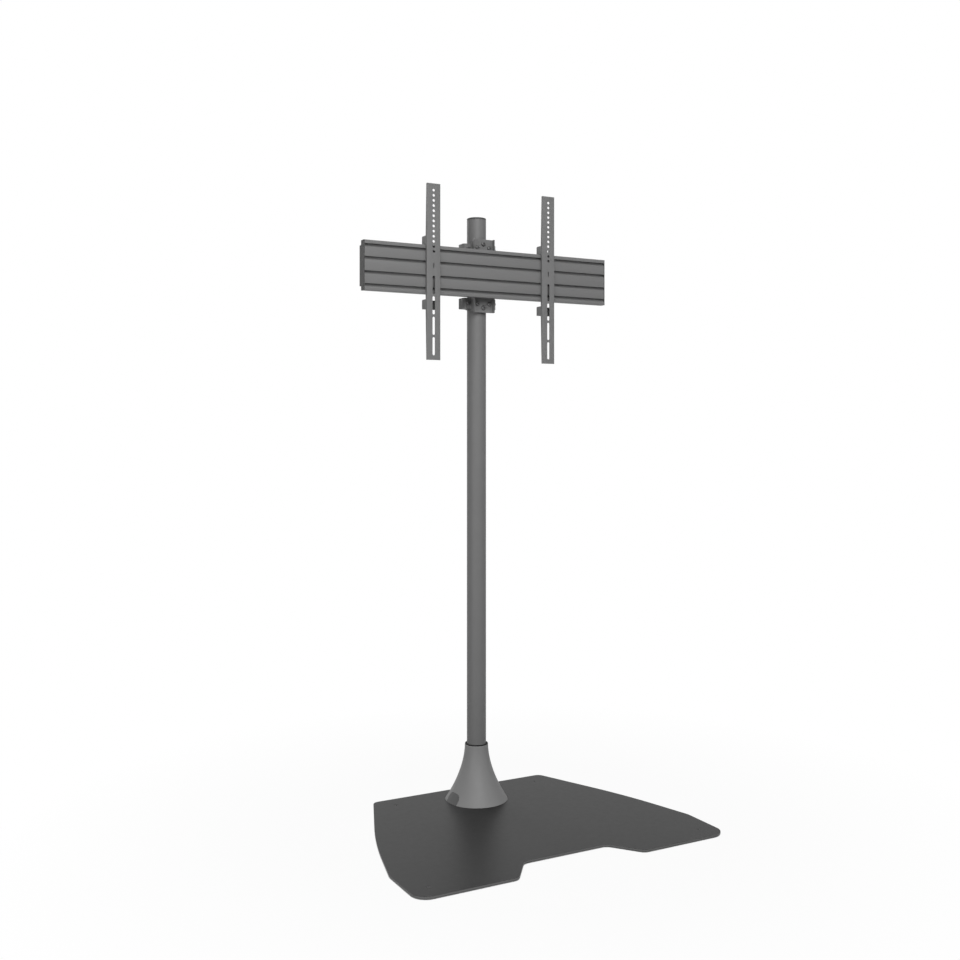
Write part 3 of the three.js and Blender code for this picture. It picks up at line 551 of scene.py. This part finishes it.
# %% The flange
flange_radius, flange_top = 75, pole_foot
spigot_radius, spigot_bore, spigot_top = 26.7, 21.2, 128
flange_profile = [(spigot_bore, plate_top), (flange_radius - 0.8, plate_top),
                  (flange_radius, plate_top + 0.8), *rounded_edge(flange_radius, flange_top, 1.2),
                  (30.5, flange_top), (27.6, flange_top + 0.3), (spigot_radius, flange_top + 1.5),
                  *((spigot_radius, z) for z in (40, 90, 110, 127)),
                  (spigot_radius - 0.8, spigot_top), (spigot_bore, spigot_top)]
bolt_drill = bar(m10_hole, 0, 30, 32)
bolt_holes = [moved(bolt_drill, at(x, y)) for x, y in flange_bolts]
flange = worked(turned(flange_profile, 96, ring=True), [outlet_slot, *screw_holes, *bolt_holes])
place(flange, "pole_flange", "stand", plate_coat)
print("spigot:", spigot_top - flange_top, "mm high")


# %% The flange's bolts
def fasten(shape, node, body, edge=0):
    """Places a black bolt, screw or nut."""
    place(shape, node, body, black_steel, edge)


def chamfered_hexagon(flats, low, high, both_ends=True):
    """A hexagon whose corners are turned off at 30 degrees, as on every nut and bolt head."""
    corner, face = flats / math.sqrt(3), flats * 0.475  # radii
    drop = (corner - face) * math.tan(math.radians(30)) + 0.58  # down to 1 mm outside the corners
    foot = [(corner + 1, low + drop), (face, low)] if both_ends else [(corner + 1, low)]
    cone = turned([(0, high), (face, high), (corner + 1, high - drop), *foot, (0, low)], 48)
    hexagon = moved(bar(corner, low, high, 6), Matrix.Rotation(math.pi / 6, 4, "Z"))
    return worked(hexagon, [cone], "INTERSECT")


bolt_head = chamfered_hexagon(17, flange_top, flange_top + 6.4, both_ends=False)
bolt_shank = bar(5, plate_low + 0.3, flange_top + 2, 32)
bolt = worked(bolt_head, [bolt_shank], "UNION")
for number, (x, y) in enumerate(flange_bolts, 1):
    fasten(moved(bolt, at(x, y)), f"flange_bolt_{number}", "stand", 0.15)
print("flange bolts:", len(flange_bolts))

# %% The tube and its cap
near_outlet, near_entry = [24, 35, 60, 85, 95, 111, 200], [rail_middle + z for z in (-70, -56, 0, 56, 70)]
levels = [pole_foot, *near_outlet, 800, 1400, *near_entry, 1800, tube_top - 0.4]
tube_profile = [(pole_bore, pole_foot), *((pole_radius, z) for z in levels),
                (pole_radius - 0.4, tube_top), (pole_bore, tube_top),
                *((pole_bore, z) for z in reversed(levels[1:-1]))]
tube = worked(turned(tube_profile, 128, ring=True), [outlet_slot, entry_slot, *screw_holes])
place(tube, "pole", "stand", pole_coat)

plug_radius, plug_bore, plug_foot = 26.7, 24.2, tube_top - 20
cap_profile = [(0, cap_top), (20, cap_top - 0.05), *rounded_edge(pole_radius, cap_top, 2)[::-1],
               (pole_radius, tube_top + 0.4), (pole_radius - 0.4, tube_top), (plug_radius, tube_top),
               (plug_radius, plug_foot + 0.5), (plug_radius - 0.5, plug_foot), (plug_bore, plug_foot),
               (plug_bore, tube_top), (0, tube_top)]
place(turned(cap_profile, 128), "pole_cap", "stand", cap_plastic)
print("pole from", pole_foot, "to", cap_top, "mm")

# %% [markdown]
# ## Screws and nuts
#
# The mount is held by socket screws. Seen close, such a screw is a turned head with a rounded
# rim, a hexagon socket and a rolled thread, so a head is a spun profile, the socket is cut, and
# the thread is a row of ridges in the profile. One screw of each kind is made and copied.


# %% One screw of each kind
def socket_screw(head_radius, head_height, round_off, length, radius=4, key=3, knurled=False):
    """Its seat is at Z = 0, its head above and its shank below."""
    sides, thread_length = 60, 14
    profile = [(0, head_height)] + rounded_edge(head_radius, head_height, round_off)[::-1]
    profile += [(head_radius, 0.3), (head_radius - 0.3, 0), (radius, 0)]
    smooth = max(length - thread_length, 0.5)
    screw = turned(profile + threaded(radius, -length, -smooth), sides)
    if knurled:
        foot, rim, dent = 0.2, head_height - round_off, 0.965
        wall = [v for v in screw.verts if v.co.xy.length > head_radius - 0.1 and foot < v.co.z < rim]
        for v in wall:
            if round(math.atan2(v.co.y, v.co.x) / (2 * math.pi) * sides) % 2:
                v.co.xy *= dent
    return worked(screw, [bar(key, head_height * 0.5, head_height + 2, 6)])


def button_screw(length):
    return socket_screw(head_radius=7, head_height=4.5, round_off=3.2, length=length)


pole_screw, jaw_screw, set_screw = (button_screw(length) for length in (8.9, 17.7, 14.7))
clamp_bolt = socket_screw(head_radius=6.5, head_height=8, round_off=0.6, length=47.5, knurled=True)
screw_seat = at(0, -pole_radius - 0.3, screw_height, facing_front)
for name, turns in screw_turns.items():
    fasten(round_the_pole(moved(pole_screw, screw_seat), turns), name, "stand")
print("clamp bolt faces:", len(clamp_bolt.faces))

# %% A nut
nut_height, nut_bore = 6.5, 4.1
nut_hole = turned([(0, -1), (nut_bore + 1.2, -1), (nut_bore, 0.4), (nut_bore, nut_height - 0.4),
                   (nut_bore + 1.2, nut_height + 1), (0, nut_height + 1)], 32)
hex_nut = worked(chamfered_hexagon(13, 0, nut_height), [nut_hole])
print("nut faces:", len(hex_nut.faces))

# %% [markdown]
# ## Cone cover
#
# The cover is a spun shell that flares onto the plate and hides the flange. The flare is a curve,
# not a straight cone: the radius grows with a power of the depth below the rim. An arch at its
# foot lets the cables out. The arch is cut once, and the piece that falls out, less a thin
# clearance, becomes the push-in cover that closes it.

# %% The flare as a profile
cone_height, cone_foot, cone_rim, cone_wall, flare_power = 172, 97.7, 36.5, 2.5, 1.82
rim_top = plate_top + cone_height


def cone_point(share, depth=0):
    """A point this share of the way up, and this deep under the outside."""
    radius = cone_rim + (cone_foot - cone_rim) * (1 - share) ** flare_power
    slope = (cone_foot - cone_rim) / cone_height * flare_power * (1 - share) ** (flare_power - 1)
    return radius - depth * math.hypot(1, slope), plate_top + cone_height * share


shares = [step / 40 for step in range(41)]
shell_profile = [(cone_foot - 0.5, plate_top), (cone_foot - 0.1, plate_top + 0.4),
                 *(cone_point(share) for share in shares[1:-1]), *rounded_edge(cone_rim, rim_top, 1.6),
                 *(cone_point(share, cone_wall) for share in reversed(shares))]
shell = turned(shell_profile, 128, ring=True)
print("cone from radius", cone_foot, "to", cone_rim, "mm")


# %% The arch and its cover
def arch(clearance):
    """The block that cuts the arch, this much larger than its cover."""
    half, top, near, far = 28 + clearance, plate_top + 30 + clearance, 36, 110
    rounding = 20 + clearance
    corners = [(-half, 0, 0), (half, 0, 0), (half, top, rounding), (-half, top, rounding)]
    return round_the_pole(moved(pushed(corners, near, far, arc_steps=12), facing_front), outlet_turn)


place(worked(shell, [arch(0.3)]), "cone_cover", "cover", cone_coat, edge=0.25)
plug = worked(shell, [arch(0)], "INTERSECT")
place(plug, "cable_outlet_cover", "cover", cover_plastic, edge=0.5)
print("arch at", round(outlet_turn * 360), "degrees")

# %% The rubber collar
collar_top = rim_top + 2.9
bore, neck, brim, foot = 30.3, 33.7, 35.7, rim_top - 11.7
collar = [(bore, foot + 0.5), (bore + 0.5, foot), (neck - 0.5, foot), (neck, foot + 0.5)]
collar += [(neck, rim_top + 0.3), (brim - 0.2, rim_top + 0.3), (brim, rim_top + 0.5)]
collar += rounded_edge(brim, collar_top, 1) + [(bore + 0.8, collar_top), (bore, collar_top - 0.8)]
place(turned(collar, 96, ring=True), "cover_collar", "cover", rubber)
print("collar up to", collar_top, "mm")

# %% [markdown]
# ## Mount bracket and pole clamps
#
# The bracket is folded from 3 mm sheet into a channel that opens to the front. Each clamp is two
# cast jaws: the front one is screwed to the bracket, and two long bolts draw the rear one
# against it. Castings have softer edges than sheet, so their top and bottom edges are rounded
# with the bevel operator before any hole is drilled.

# %% The folded bracket
outer, inner, web_back, web_front, bracket_front = 35.4, 32.4, -42, -45, -63
bracket_corners = [(-outer, web_back, 4), (-outer, bracket_front, 0), (-inner, bracket_front, 0),
                   (-inner, web_front, 1), (inner, web_front, 1), (inner, bracket_front, 0),
                   (outer, bracket_front, 0), (outer, web_back, 4)]
bracket_half = 113.5
bracket = pushed(bracket_corners, rail_middle - bracket_half, rail_middle + bracket_half)
ends_front, slope_starts, slope_ends = -54.5, 52, 60.5  # near its ends the sides are shallower
past_front, past_end = bracket_front - 5, 118
end_corners = [(bracket_front, slope_starts), (ends_front, slope_ends), (ends_front, past_end),
               (past_front, past_end), (past_front, slope_starts)]
side_cutters = []
for way in (-1, 1):
    end_cut = pushed([(y, z * way, 0) for y, z in end_corners], -40, 40)
    side_cutters.append(moved(end_cut, at(z=rail_middle) @ side_on))
print("bracket:", 2 * bracket_half, "mm high")

# %% Its holes
clamp_z, jaw_screw_z, set_screw_z = 84, 87, 99
clamp_bolt_x, screw_x, rail_bolt_z = 44.5, 21, 38


def drilled(radius, x, z, near, far):
    """A drill from the front. Near and far are distances in front of the pole's axis."""
    return moved(bar(radius, near, far, 32), at(x, 0, z, facing_front))


holes = [drilled(m8_hole, x, rail_middle + z, 38, 50) for x in (-screw_x, screw_x)
         for z in (-jaw_screw_z, jaw_screw_z, -rail_bolt_z, rail_bolt_z)]
holes += [drilled(m8_hole, 0, rail_middle + z, 38, 50) for z in (-set_screw_z, set_screw_z)]
bracket = worked(bracket, [*side_cutters, *holes])
place(bracket, "mount_bracket", "mount", mount_coat, edge=0.4)
print("bracket holes:", len(holes))


# %% The cast jaws
def cast(corners, low, high, round_off):
    """A casting whose top and bottom edges are rounded."""
    shape, sharp = pushed(corners, low, high), 0.9  # radians
    rims = [e for e in shape.edges if not e.is_contiguous or abs(e.calc_face_angle(0)) > sharp]
    rims = [e for e in rims
            if any(all(abs(v.co.z - level) < same_level for v in e.verts) for level in (low, high))]
    bmesh.ops.bevel(shape, geom=rims, offset=round_off, segments=4, profile=0.5, affect="EDGES",
                    material=-1)
    return shape


jaw_reach, jaw_half, jaw_bore, jaw_gap = 58, 16.5, 30.3, 0.75
ear_front, ear_back, ear_round, cast_edge = -25, 14, 10, 1.6
clamp_bolts_x, jaw_screws_x = (-clamp_bolt_x, clamp_bolt_x), (-screw_x, screw_x)


def heights(level):
    """A clamp's middle, its jaw screws and its set screw."""
    return (rail_middle + level * offset for offset in (clamp_z, jaw_screw_z, set_screw_z))


def front_jaw(level):
    z, screws_z, stop_z = heights(level)
    nose_corners = [(-32, ear_front), (-28, web_back), (28, web_back), (32, ear_front)]
    corners = [(-jaw_reach, -jaw_gap, 0), (-jaw_reach, ear_front, ear_round),
               *((x, y, 3) for x, y in nose_corners),
               (jaw_reach, ear_front, ear_round), (jaw_reach, -jaw_gap, 0)]
    body = cast(corners, z - jaw_half, z + jaw_half, cast_edge)
    nose_corners = [(x, y, 3 if y == web_back else 0) for x, y in nose_corners]
    nose = cast(nose_corners, *sorted((z, z + level * 24.5)), 1)
    cuts = [bar(jaw_bore, z - 40, z + 40, 96)]
    cuts += [drilled(m8_hole, x, z, -5, 30) for x in clamp_bolts_x]
    cuts += [drilled(m8_hole, x, screws_z, 27, 50) for x in jaw_screws_x]
    cuts += [drilled(m8_hole, 0, stop_z, 20, 50)]
    return worked(worked(body, [nose], "UNION"), cuts)


def rear_jaw(level):
    z, _, _ = heights(level)
    back, half_steps = 36.2, 16
    shoulder = math.acos(ear_back / back)
    angles = [shoulder * (1 - n / half_steps) for n in range(2 * half_steps + 1)]
    corners = [(-jaw_reach, jaw_gap, 0), (jaw_reach, jaw_gap, 0), (jaw_reach, ear_back, ear_round),
               *((back * math.sin(a), back * math.cos(a), 0) for a in angles),
               (-jaw_reach, ear_back, ear_round)]
    body = cast(corners, z - jaw_half, z + jaw_half, cast_edge)
    cuts = [bar(jaw_bore, z - 20, z + 20, 96)]
    cuts += [drilled(m8_hole, x, z, -20, 5) for x in clamp_bolts_x]
    return worked(body, cuts)


print("clamps at", rail_middle - clamp_z, "and", rail_middle + clamp_z, "mm")

# %% The clamps with their screws
for name, level in (("upper", 1), ("lower", -1)):
    z, screws_z, stop_z = heights(level)
    place(front_jaw(level), name + "_front_jaw", "mount", mount_coat, edge=0.25)
    place(rear_jaw(level), name + "_rear_jaw", "mount", mount_coat, edge=0.25)
    fasten(moved(set_screw, at(0, web_front, stop_z, facing_front)), name + "_set_screw", "mount")
    for side, way in (("left", -1), ("right", 1)):
        spot = f"{name}_{side}_"
        bolt_x = way * clamp_bolt_x
        fasten(moved(clamp_bolt, at(bolt_x, ear_front, z, facing_front)), spot + "clamp_bolt", "mount")
        fasten(moved(hex_nut, at(bolt_x, ear_back, z, facing_back)), spot + "clamp_nut", "mount", 0.1)
        screw = moved(jaw_screw, at(way * screw_x, web_front, screws_z, facing_front))
        fasten(screw, spot + "jaw_screw", "mount")
print("pieces so far:", len(made_pieces))

# %% [markdown]
# ## Rail
#
# The rail is one aluminium extrusion, so its whole shape is a section: four grooves in front, two
# T-slots behind for the bolts that hold it, lips over and under its back for the arms' hooks, and
# three chambers that save metal. A front groove goes in level under the strip above it, reaches
# up behind that strip, and slants out below, so its upper edge is a crisp dark line and its lower
# edge a soft one. The section is drawn once and pushed along X.

# %% The rail's section
rail_front, rail_back, lip_back = -95, -63, -74
rail_half, back_half, rail_end = 73, 59.5, 417


def back_slot(z, mouth=8.6, width=15.6, lip=3, depth=9.5):
    """Corners of a T-slot in the back, in the outline's order."""
    steps = [(0, -mouth, 0.4), (lip, -mouth, 0.3), (lip, -width, 0.3), (depth, -width, 0.5)]
    steps += [(y, -half, radius) for y, half, radius in reversed(steps)]
    return [(rail_back - y, z + half / 2, radius) for y, half, radius in steps]


def front_groove(z):
    """Corners of a front groove whose upper edge is at z."""
    steps = [(0, 0, 0.4), (2.5, 0, 0.3), (2.5, 2.5, 0.3), (8, 2.5, 1), (8, -3.2, 2), (0, -9, 1)]
    return [(rail_front + y, z + up, radius) for y, up, radius in steps]


groove_levels = (62.45, 25.45, -16.05, -53.05)
section = [(rail_front, -rail_half, 1), (lip_back, -rail_half, 1), (lip_back, -back_half, 0.5),
           (rail_back, -back_half, 1), *back_slot(-rail_bolt_z), *back_slot(rail_bolt_z),
           (rail_back, back_half, 1), (lip_back, back_half, 0.5), (lip_back, rail_half, 1),
           (rail_front, rail_half, 1)]
for z in groove_levels:
    section += front_groove(z)
print("section corners:", len(section))

# %% The rail with its chambers
# The middle chamber is deeper, because no T-slot is behind it.
chambers = [(rail_front + 2.5, rail_back - (2.5 if index == 1 else 12), below + 5, above - 11.5)
            for index, (above, below) in enumerate(zip(groove_levels, groove_levels[1:]))]
chamber_outlines = [box_outline(*chamber, 2) for chamber in chambers]
rail = pushed(section, -rail_end, rail_end, chamber_outlines, arc_steps=3)
place(moved(rail, at(z=rail_middle) @ side_on), "rail", "mount", rail_coat)
print("chambers:", len(chambers))

# %% End caps
cap_corners = [corner for corner in section if abs(corner[1]) in (rail_half, back_half)]
plug_gap = 0.3
plugs = []
for front, back, low, high in chambers:
    outline = box_outline(front + plug_gap, back - plug_gap, low + plug_gap, high - plug_gap, 2 - plug_gap)
    plugs.append(pushed(outline, rail_end - 8, rail_end + 1.5))
end_cap = worked(pushed(cap_corners, rail_end, rail_end + 3, arc_steps=4), plugs, "UNION")
end_cap = moved(end_cap, at(z=rail_middle) @ side_on)
flipped = moved(end_cap, Matrix.Scale(-1, 4, (1, 0, 0)))
bmesh.ops.reverse_faces(flipped, faces=flipped.faces)
place(end_cap, "rail_end_cap_right", "mount", cap_plastic, edge=0.5)
place(flipped, "rail_end_cap_left", "mount", cap_plastic, edge=0.5)
print("end cap corners:", len(cap_corners))

# %% T-bolts and their nuts
head_foot, head_top, bolt_end = 66.3, 71.8, 33.5  # in front of the pole's axis
t_head = pushed(box_outline(-7, 7, -7, 7, 0.8), head_foot, head_top)
t_shank = turned([(0, 69)] + threaded(4, bolt_end, 68), 48)
t_bolt = worked(t_head, [t_shank], "UNION")
for height, z in (("upper", rail_bolt_z), ("lower", -rail_bolt_z)):
    for side, x in (("left", -screw_x), ("right", screw_x)):
        spot = f"{height}_{side}_"
        nut_seat = at(x, web_back, rail_middle + z, facing_back)
        fasten(moved(t_bolt, at(x, 0, rail_middle + z, facing_front)), spot + "rail_bolt", "mount", 0.12)
        fasten(moved(hex_nut, nut_seat), spot + "rail_nut", "mount", 0.12)
print("pieces so far:", len(made_pieces))

# %% [markdown]
# ## Screen arms
#
# Each arm is a strip of 2 mm steel with both long sides folded back. The folds make it stiff, and
# their free edges are cut so that they hook over the rail's top and reach under its bottom.
# Building it in the order of the real work gives the right corners: fold a plain channel, trim
# its sides to the profile, then punch the round holes and slots.

# %% Fold and trim
arm_top, arm_foot, arm_face, arm_half, sheet = 1895, 1370.5, -105, 22.5, 2
rail_top, rail_foot, seat = rail_middle + rail_half, rail_middle - rail_half, rail_front - 0.3
tab_top, tab_foot, hook_back, hook_inside = rail_foot - 16, rail_foot - 44, -70, -73.7
inside_half, inside_face = arm_half - sheet, arm_face + sheet
channel_corners = [(-arm_half, arm_face, 2.6), (arm_half, arm_face, 2.6), (arm_half, hook_back, 0),
                   (inside_half, hook_back, 0), (inside_half, inside_face, 0.8),
                   (-inside_half, inside_face, 0.8), (-inside_half, hook_back, 0),
                   (-arm_half, hook_back, 0)]
channel = pushed(channel_corners, arm_foot, arm_top, arc_steps=5)
lower_end = [(-110, arm_foot, 0), (-100, arm_foot, 1), (seat, arm_foot + 150, 0)]
tabs = [(seat, tab_foot, 0), (hook_back, tab_foot, 4), (hook_back, tab_top, 4), (seat, tab_top, 0)]
hooks = [(seat, rail_top + 0.3, 0), (hook_inside, rail_top + 0.3, 0), (hook_inside, rail_top - 9, 0.8),
         (hook_back, rail_top - 9, 0.8), (hook_back, rail_top + 27, 4), (seat, rail_top + 27, 0)]
upper_end = [(seat, arm_top - 150, 0), (-100, arm_top, 1), (-110, arm_top, 0)]
side_profile = lower_end + tabs + hooks + upper_end
arm = worked(channel, [moved(pushed(side_profile, -30, 30, arc_steps=5), side_on)], "INTERSECT")
print("side profile corners:", len(side_profile))

# %% Punch
first_hole, hole_step, punch_half, narrow_half = arm_top - 20, 15.2, 4, 1.5
slot_foot, slot_top, slot_step = arm_top - 328.5, arm_top - 274.5, 60.7


def round_ended(half, low, high):
    return box_outline(-half, half, low, high, half)


hole_levels = [first_hole - hole_step * n for n in range(13)]
slot_drops = [slot_step * n for n in range(4)]
punches = [round_ended(punch_half, z - punch_half, z + punch_half) for z in hole_levels]
punches += [round_ended(narrow_half, arm_top - 251, arm_top - 236.5)]
punches += [round_ended(punch_half, slot_foot - drop, slot_top - drop) for drop in slot_drops]
for punch in punches:
    arm = worked(arm, [moved(pushed(punch, 100, 108, arc_steps=6), facing_front)])
print("punched holes:", len(punches))

# %% Lock blocks and their screws
lock_y, block_half, arm_x = -71.2, 20.2, 200
block_outline = box_outline(lock_y - 5, lock_y + 5, tab_foot + 0.3, tab_top - 0.3, 1)
block = moved(pushed(block_outline, -block_half, block_half), side_on)
block = worked(block, [moved(bar(2.8, tab_foot - 5, tab_top + 5, 32), at(y=lock_y))])
lock_screw = socket_screw(head_radius=5, head_height=6, round_off=0.5, length=rail_foot + 8 - tab_foot,
                          radius=2.5, key=2, knurled=True)
lock_screw = moved(lock_screw, Matrix.Rotation(math.pi, 4, "X"))
for side, x in (("left", -arm_x), ("right", arm_x)):
    place(moved(arm, at(x)), side + "_arm", side + "_arm", mount_coat, edge=0.25)
    place(moved(block, at(x)), side + "_lock_block", side + "_arm", mount_coat, edge=0.3)
    fasten(moved(lock_screw, at(x, lock_y, tab_foot)), side + "_lock_screw", side + "_lock")
left_over = [name for name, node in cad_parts.items() if not node.hide_render]
print("pieces:", len(made_pieces), "measured nodes still shown:", left_over)

# %% [markdown]
# ## Studio
#
# The stand is shown on a pale floor against white, in soft light. A large lamp in front and above
# gives each round part its bright side, and an upright one at the left shades them round. Weak
# ones at the right and behind keep those sides readable, and the sky gives the rest. To camera
# and to reflections the sky is plain white. The floor is mostly white as well, and it keeps a
# share of its own shading, so the stand's shadow stays on it. Where the floor is closely covered,
# as under the plate's edge, the white goes altogether, so the plate doesn't seem to float.


# %% What only the camera and reflections see
def combined(tree, operation, one, two):
    both = tree.nodes.new("ShaderNodeMath")
    both.operation = operation
    tree.links.new(one, both.inputs[0])
    tree.links.new(two, both.inputs[1])
    return both.outputs["Value"]


def seen_or_mirrored(tree):
    """1 for camera, glossy and transmission rays, and 0 for the rays that only carry light."""
    path = tree.nodes.new("ShaderNodeLightPath")
    seen = combined(tree, "MAXIMUM", path.outputs["Is Camera Ray"], path.outputs["Is Glossy Ray"])
    return combined(tree, "MAXIMUM", seen, path.outputs["Is Transmission Ray"])


# %% Floor
floor_reach, floor_z = 30, -0.0005  # metres
floor_shape = bmesh.new()
bmesh.ops.create_grid(floor_shape, x_segments=2, y_segments=2, size=floor_reach)
bmesh.ops.translate(floor_shape, vec=(0, 0, floor_z), verts=floor_shape.verts)
floor = as_object(floor_shape, "floor")
floor_grey = grey(0.45)
floor_paint, tree, paint = new_finish("floor_paint", floor_grey, 0.9, specular=0.0)
tree.links.new(shades(tree, noise(tree, 400, 2), floor_grey, 0.01), paint.inputs["Base Color"])
print("floor reaches", floor_reach, "m")

# %% How white the floor looks
spot_on_floor = tree.nodes.new("ShaderNodeTexCoord")
distance = tree.nodes.new("ShaderNodeVectorMath")
distance.operation = "LENGTH"
tree.links.new(spot_on_floor.outputs["Object"], distance.inputs[0])
near, far = 0.6, 1.5  # metres from the middle of the floor
whiter_far_off = spread(tree, distance.outputs["Value"], 0.95, 1, start=near, end=far)
cover_above = tree.nodes.new("ShaderNodeAmbientOcclusion")
cover_above.samples = 8
cover_above.inputs["Distance"].default_value = 0.02  # metres
white_in_open = spread(tree, cover_above.outputs["AO"], 0, 1, start=0.2, end=0.45)
kept_white = combined(tree, "MULTIPLY", whiter_far_off, white_in_open)
share_of_white = combined(tree, "MULTIPLY", seen_or_mirrored(tree), kept_white)

glow = tree.nodes.new("ShaderNodeEmission")
blend = tree.nodes.new("ShaderNodeMixShader")
tree.links.new(share_of_white, blend.inputs["Fac"])
tree.links.new(paint.outputs["BSDF"], blend.inputs[1])
tree.links.new(glow.outputs["Emission"], blend.inputs[2])
tree.links.new(blend.outputs["Shader"], tree.nodes["Material Output"].inputs["Surface"])
floor.data.materials.append(floor_paint)
print("white from", near, "to", far, "m")

# %% Sky
sky_light, sky_seen = 0.14, 1.0
world = bpy.data.worlds.new("studio")
bpy.context.scene.world = world
world.use_nodes = True
tree = world.node_tree
sky = tree.nodes["Background"]
strength = spread(tree, seen_or_mirrored(tree), sky_light, sky_seen, start=0, end=1)
tree.links.new(strength, sky.inputs["Strength"])
sky.inputs["Color"].default_value = (1, 1, 1, 1)
print("sky:", sky_light, "as light,", sky_seen, "as seen")

# %% Lamps
pole_middle = (0, 0.25, 0.9)


def softbox(name, position, width, height, watts, aim=pole_middle):
    """A flat lamp, placed and sized in metres, that points at its aim."""
    lamp = bpy.data.lights.new(name, "AREA")
    lamp.shape, lamp.size, lamp.size_y, lamp.energy = "RECTANGLE", width, height, watts
    holder = in_scene(name, lamp)
    holder.location = position
    holder.rotation_euler = (Vector(aim) - Vector(position)).to_track_quat("-Z", "Y").to_euler()
    print(name, watts, "W")


softbox("main_lamp", (-0.9, -3.4, 3.0), width=3.0, height=2.4, watts=140)
softbox("strip_lamp", (-2.5, -1.5, 0.95), width=1.0, height=2.2, watts=26, aim=(0, 0.25, 0.95))
softbox("right_lamp", (2.6, -2.6, 2.2), width=0.8, height=0.8, watts=9)
softbox("back_lamp", (-0.5, 3.6, 3.6), width=1.6, height=1.6, watts=75)

# %% [markdown]
# ## Camera
#
# The camera stands where it stood for the picture that the model was measured from: level, a
# little over a metre up and to the left of the stand, so upright edges stay upright. The aim is
# level, and a small lens shift frames the stand instead of a tilt.

# %% The camera
picture_width = 960  # pixels
turned_right = math.radians(28.41)
eye = bpy.data.cameras.new("camera")
eye.sensor_width, eye.lens = 36, 42.375
eye.shift_x, eye.shift_y = -0.47 / picture_width, -48.5 / picture_width
camera = in_scene("camera", eye)
camera.location = (-1.675, pole_y - 3.123, 1.158)
camera.rotation_euler = (math.radians(90), 0, -turned_right)
bpy.context.scene.camera = camera
bpy.context.scene.view_settings.view_transform = "Standard"
print("the camera is", camera.location.z, "m up")
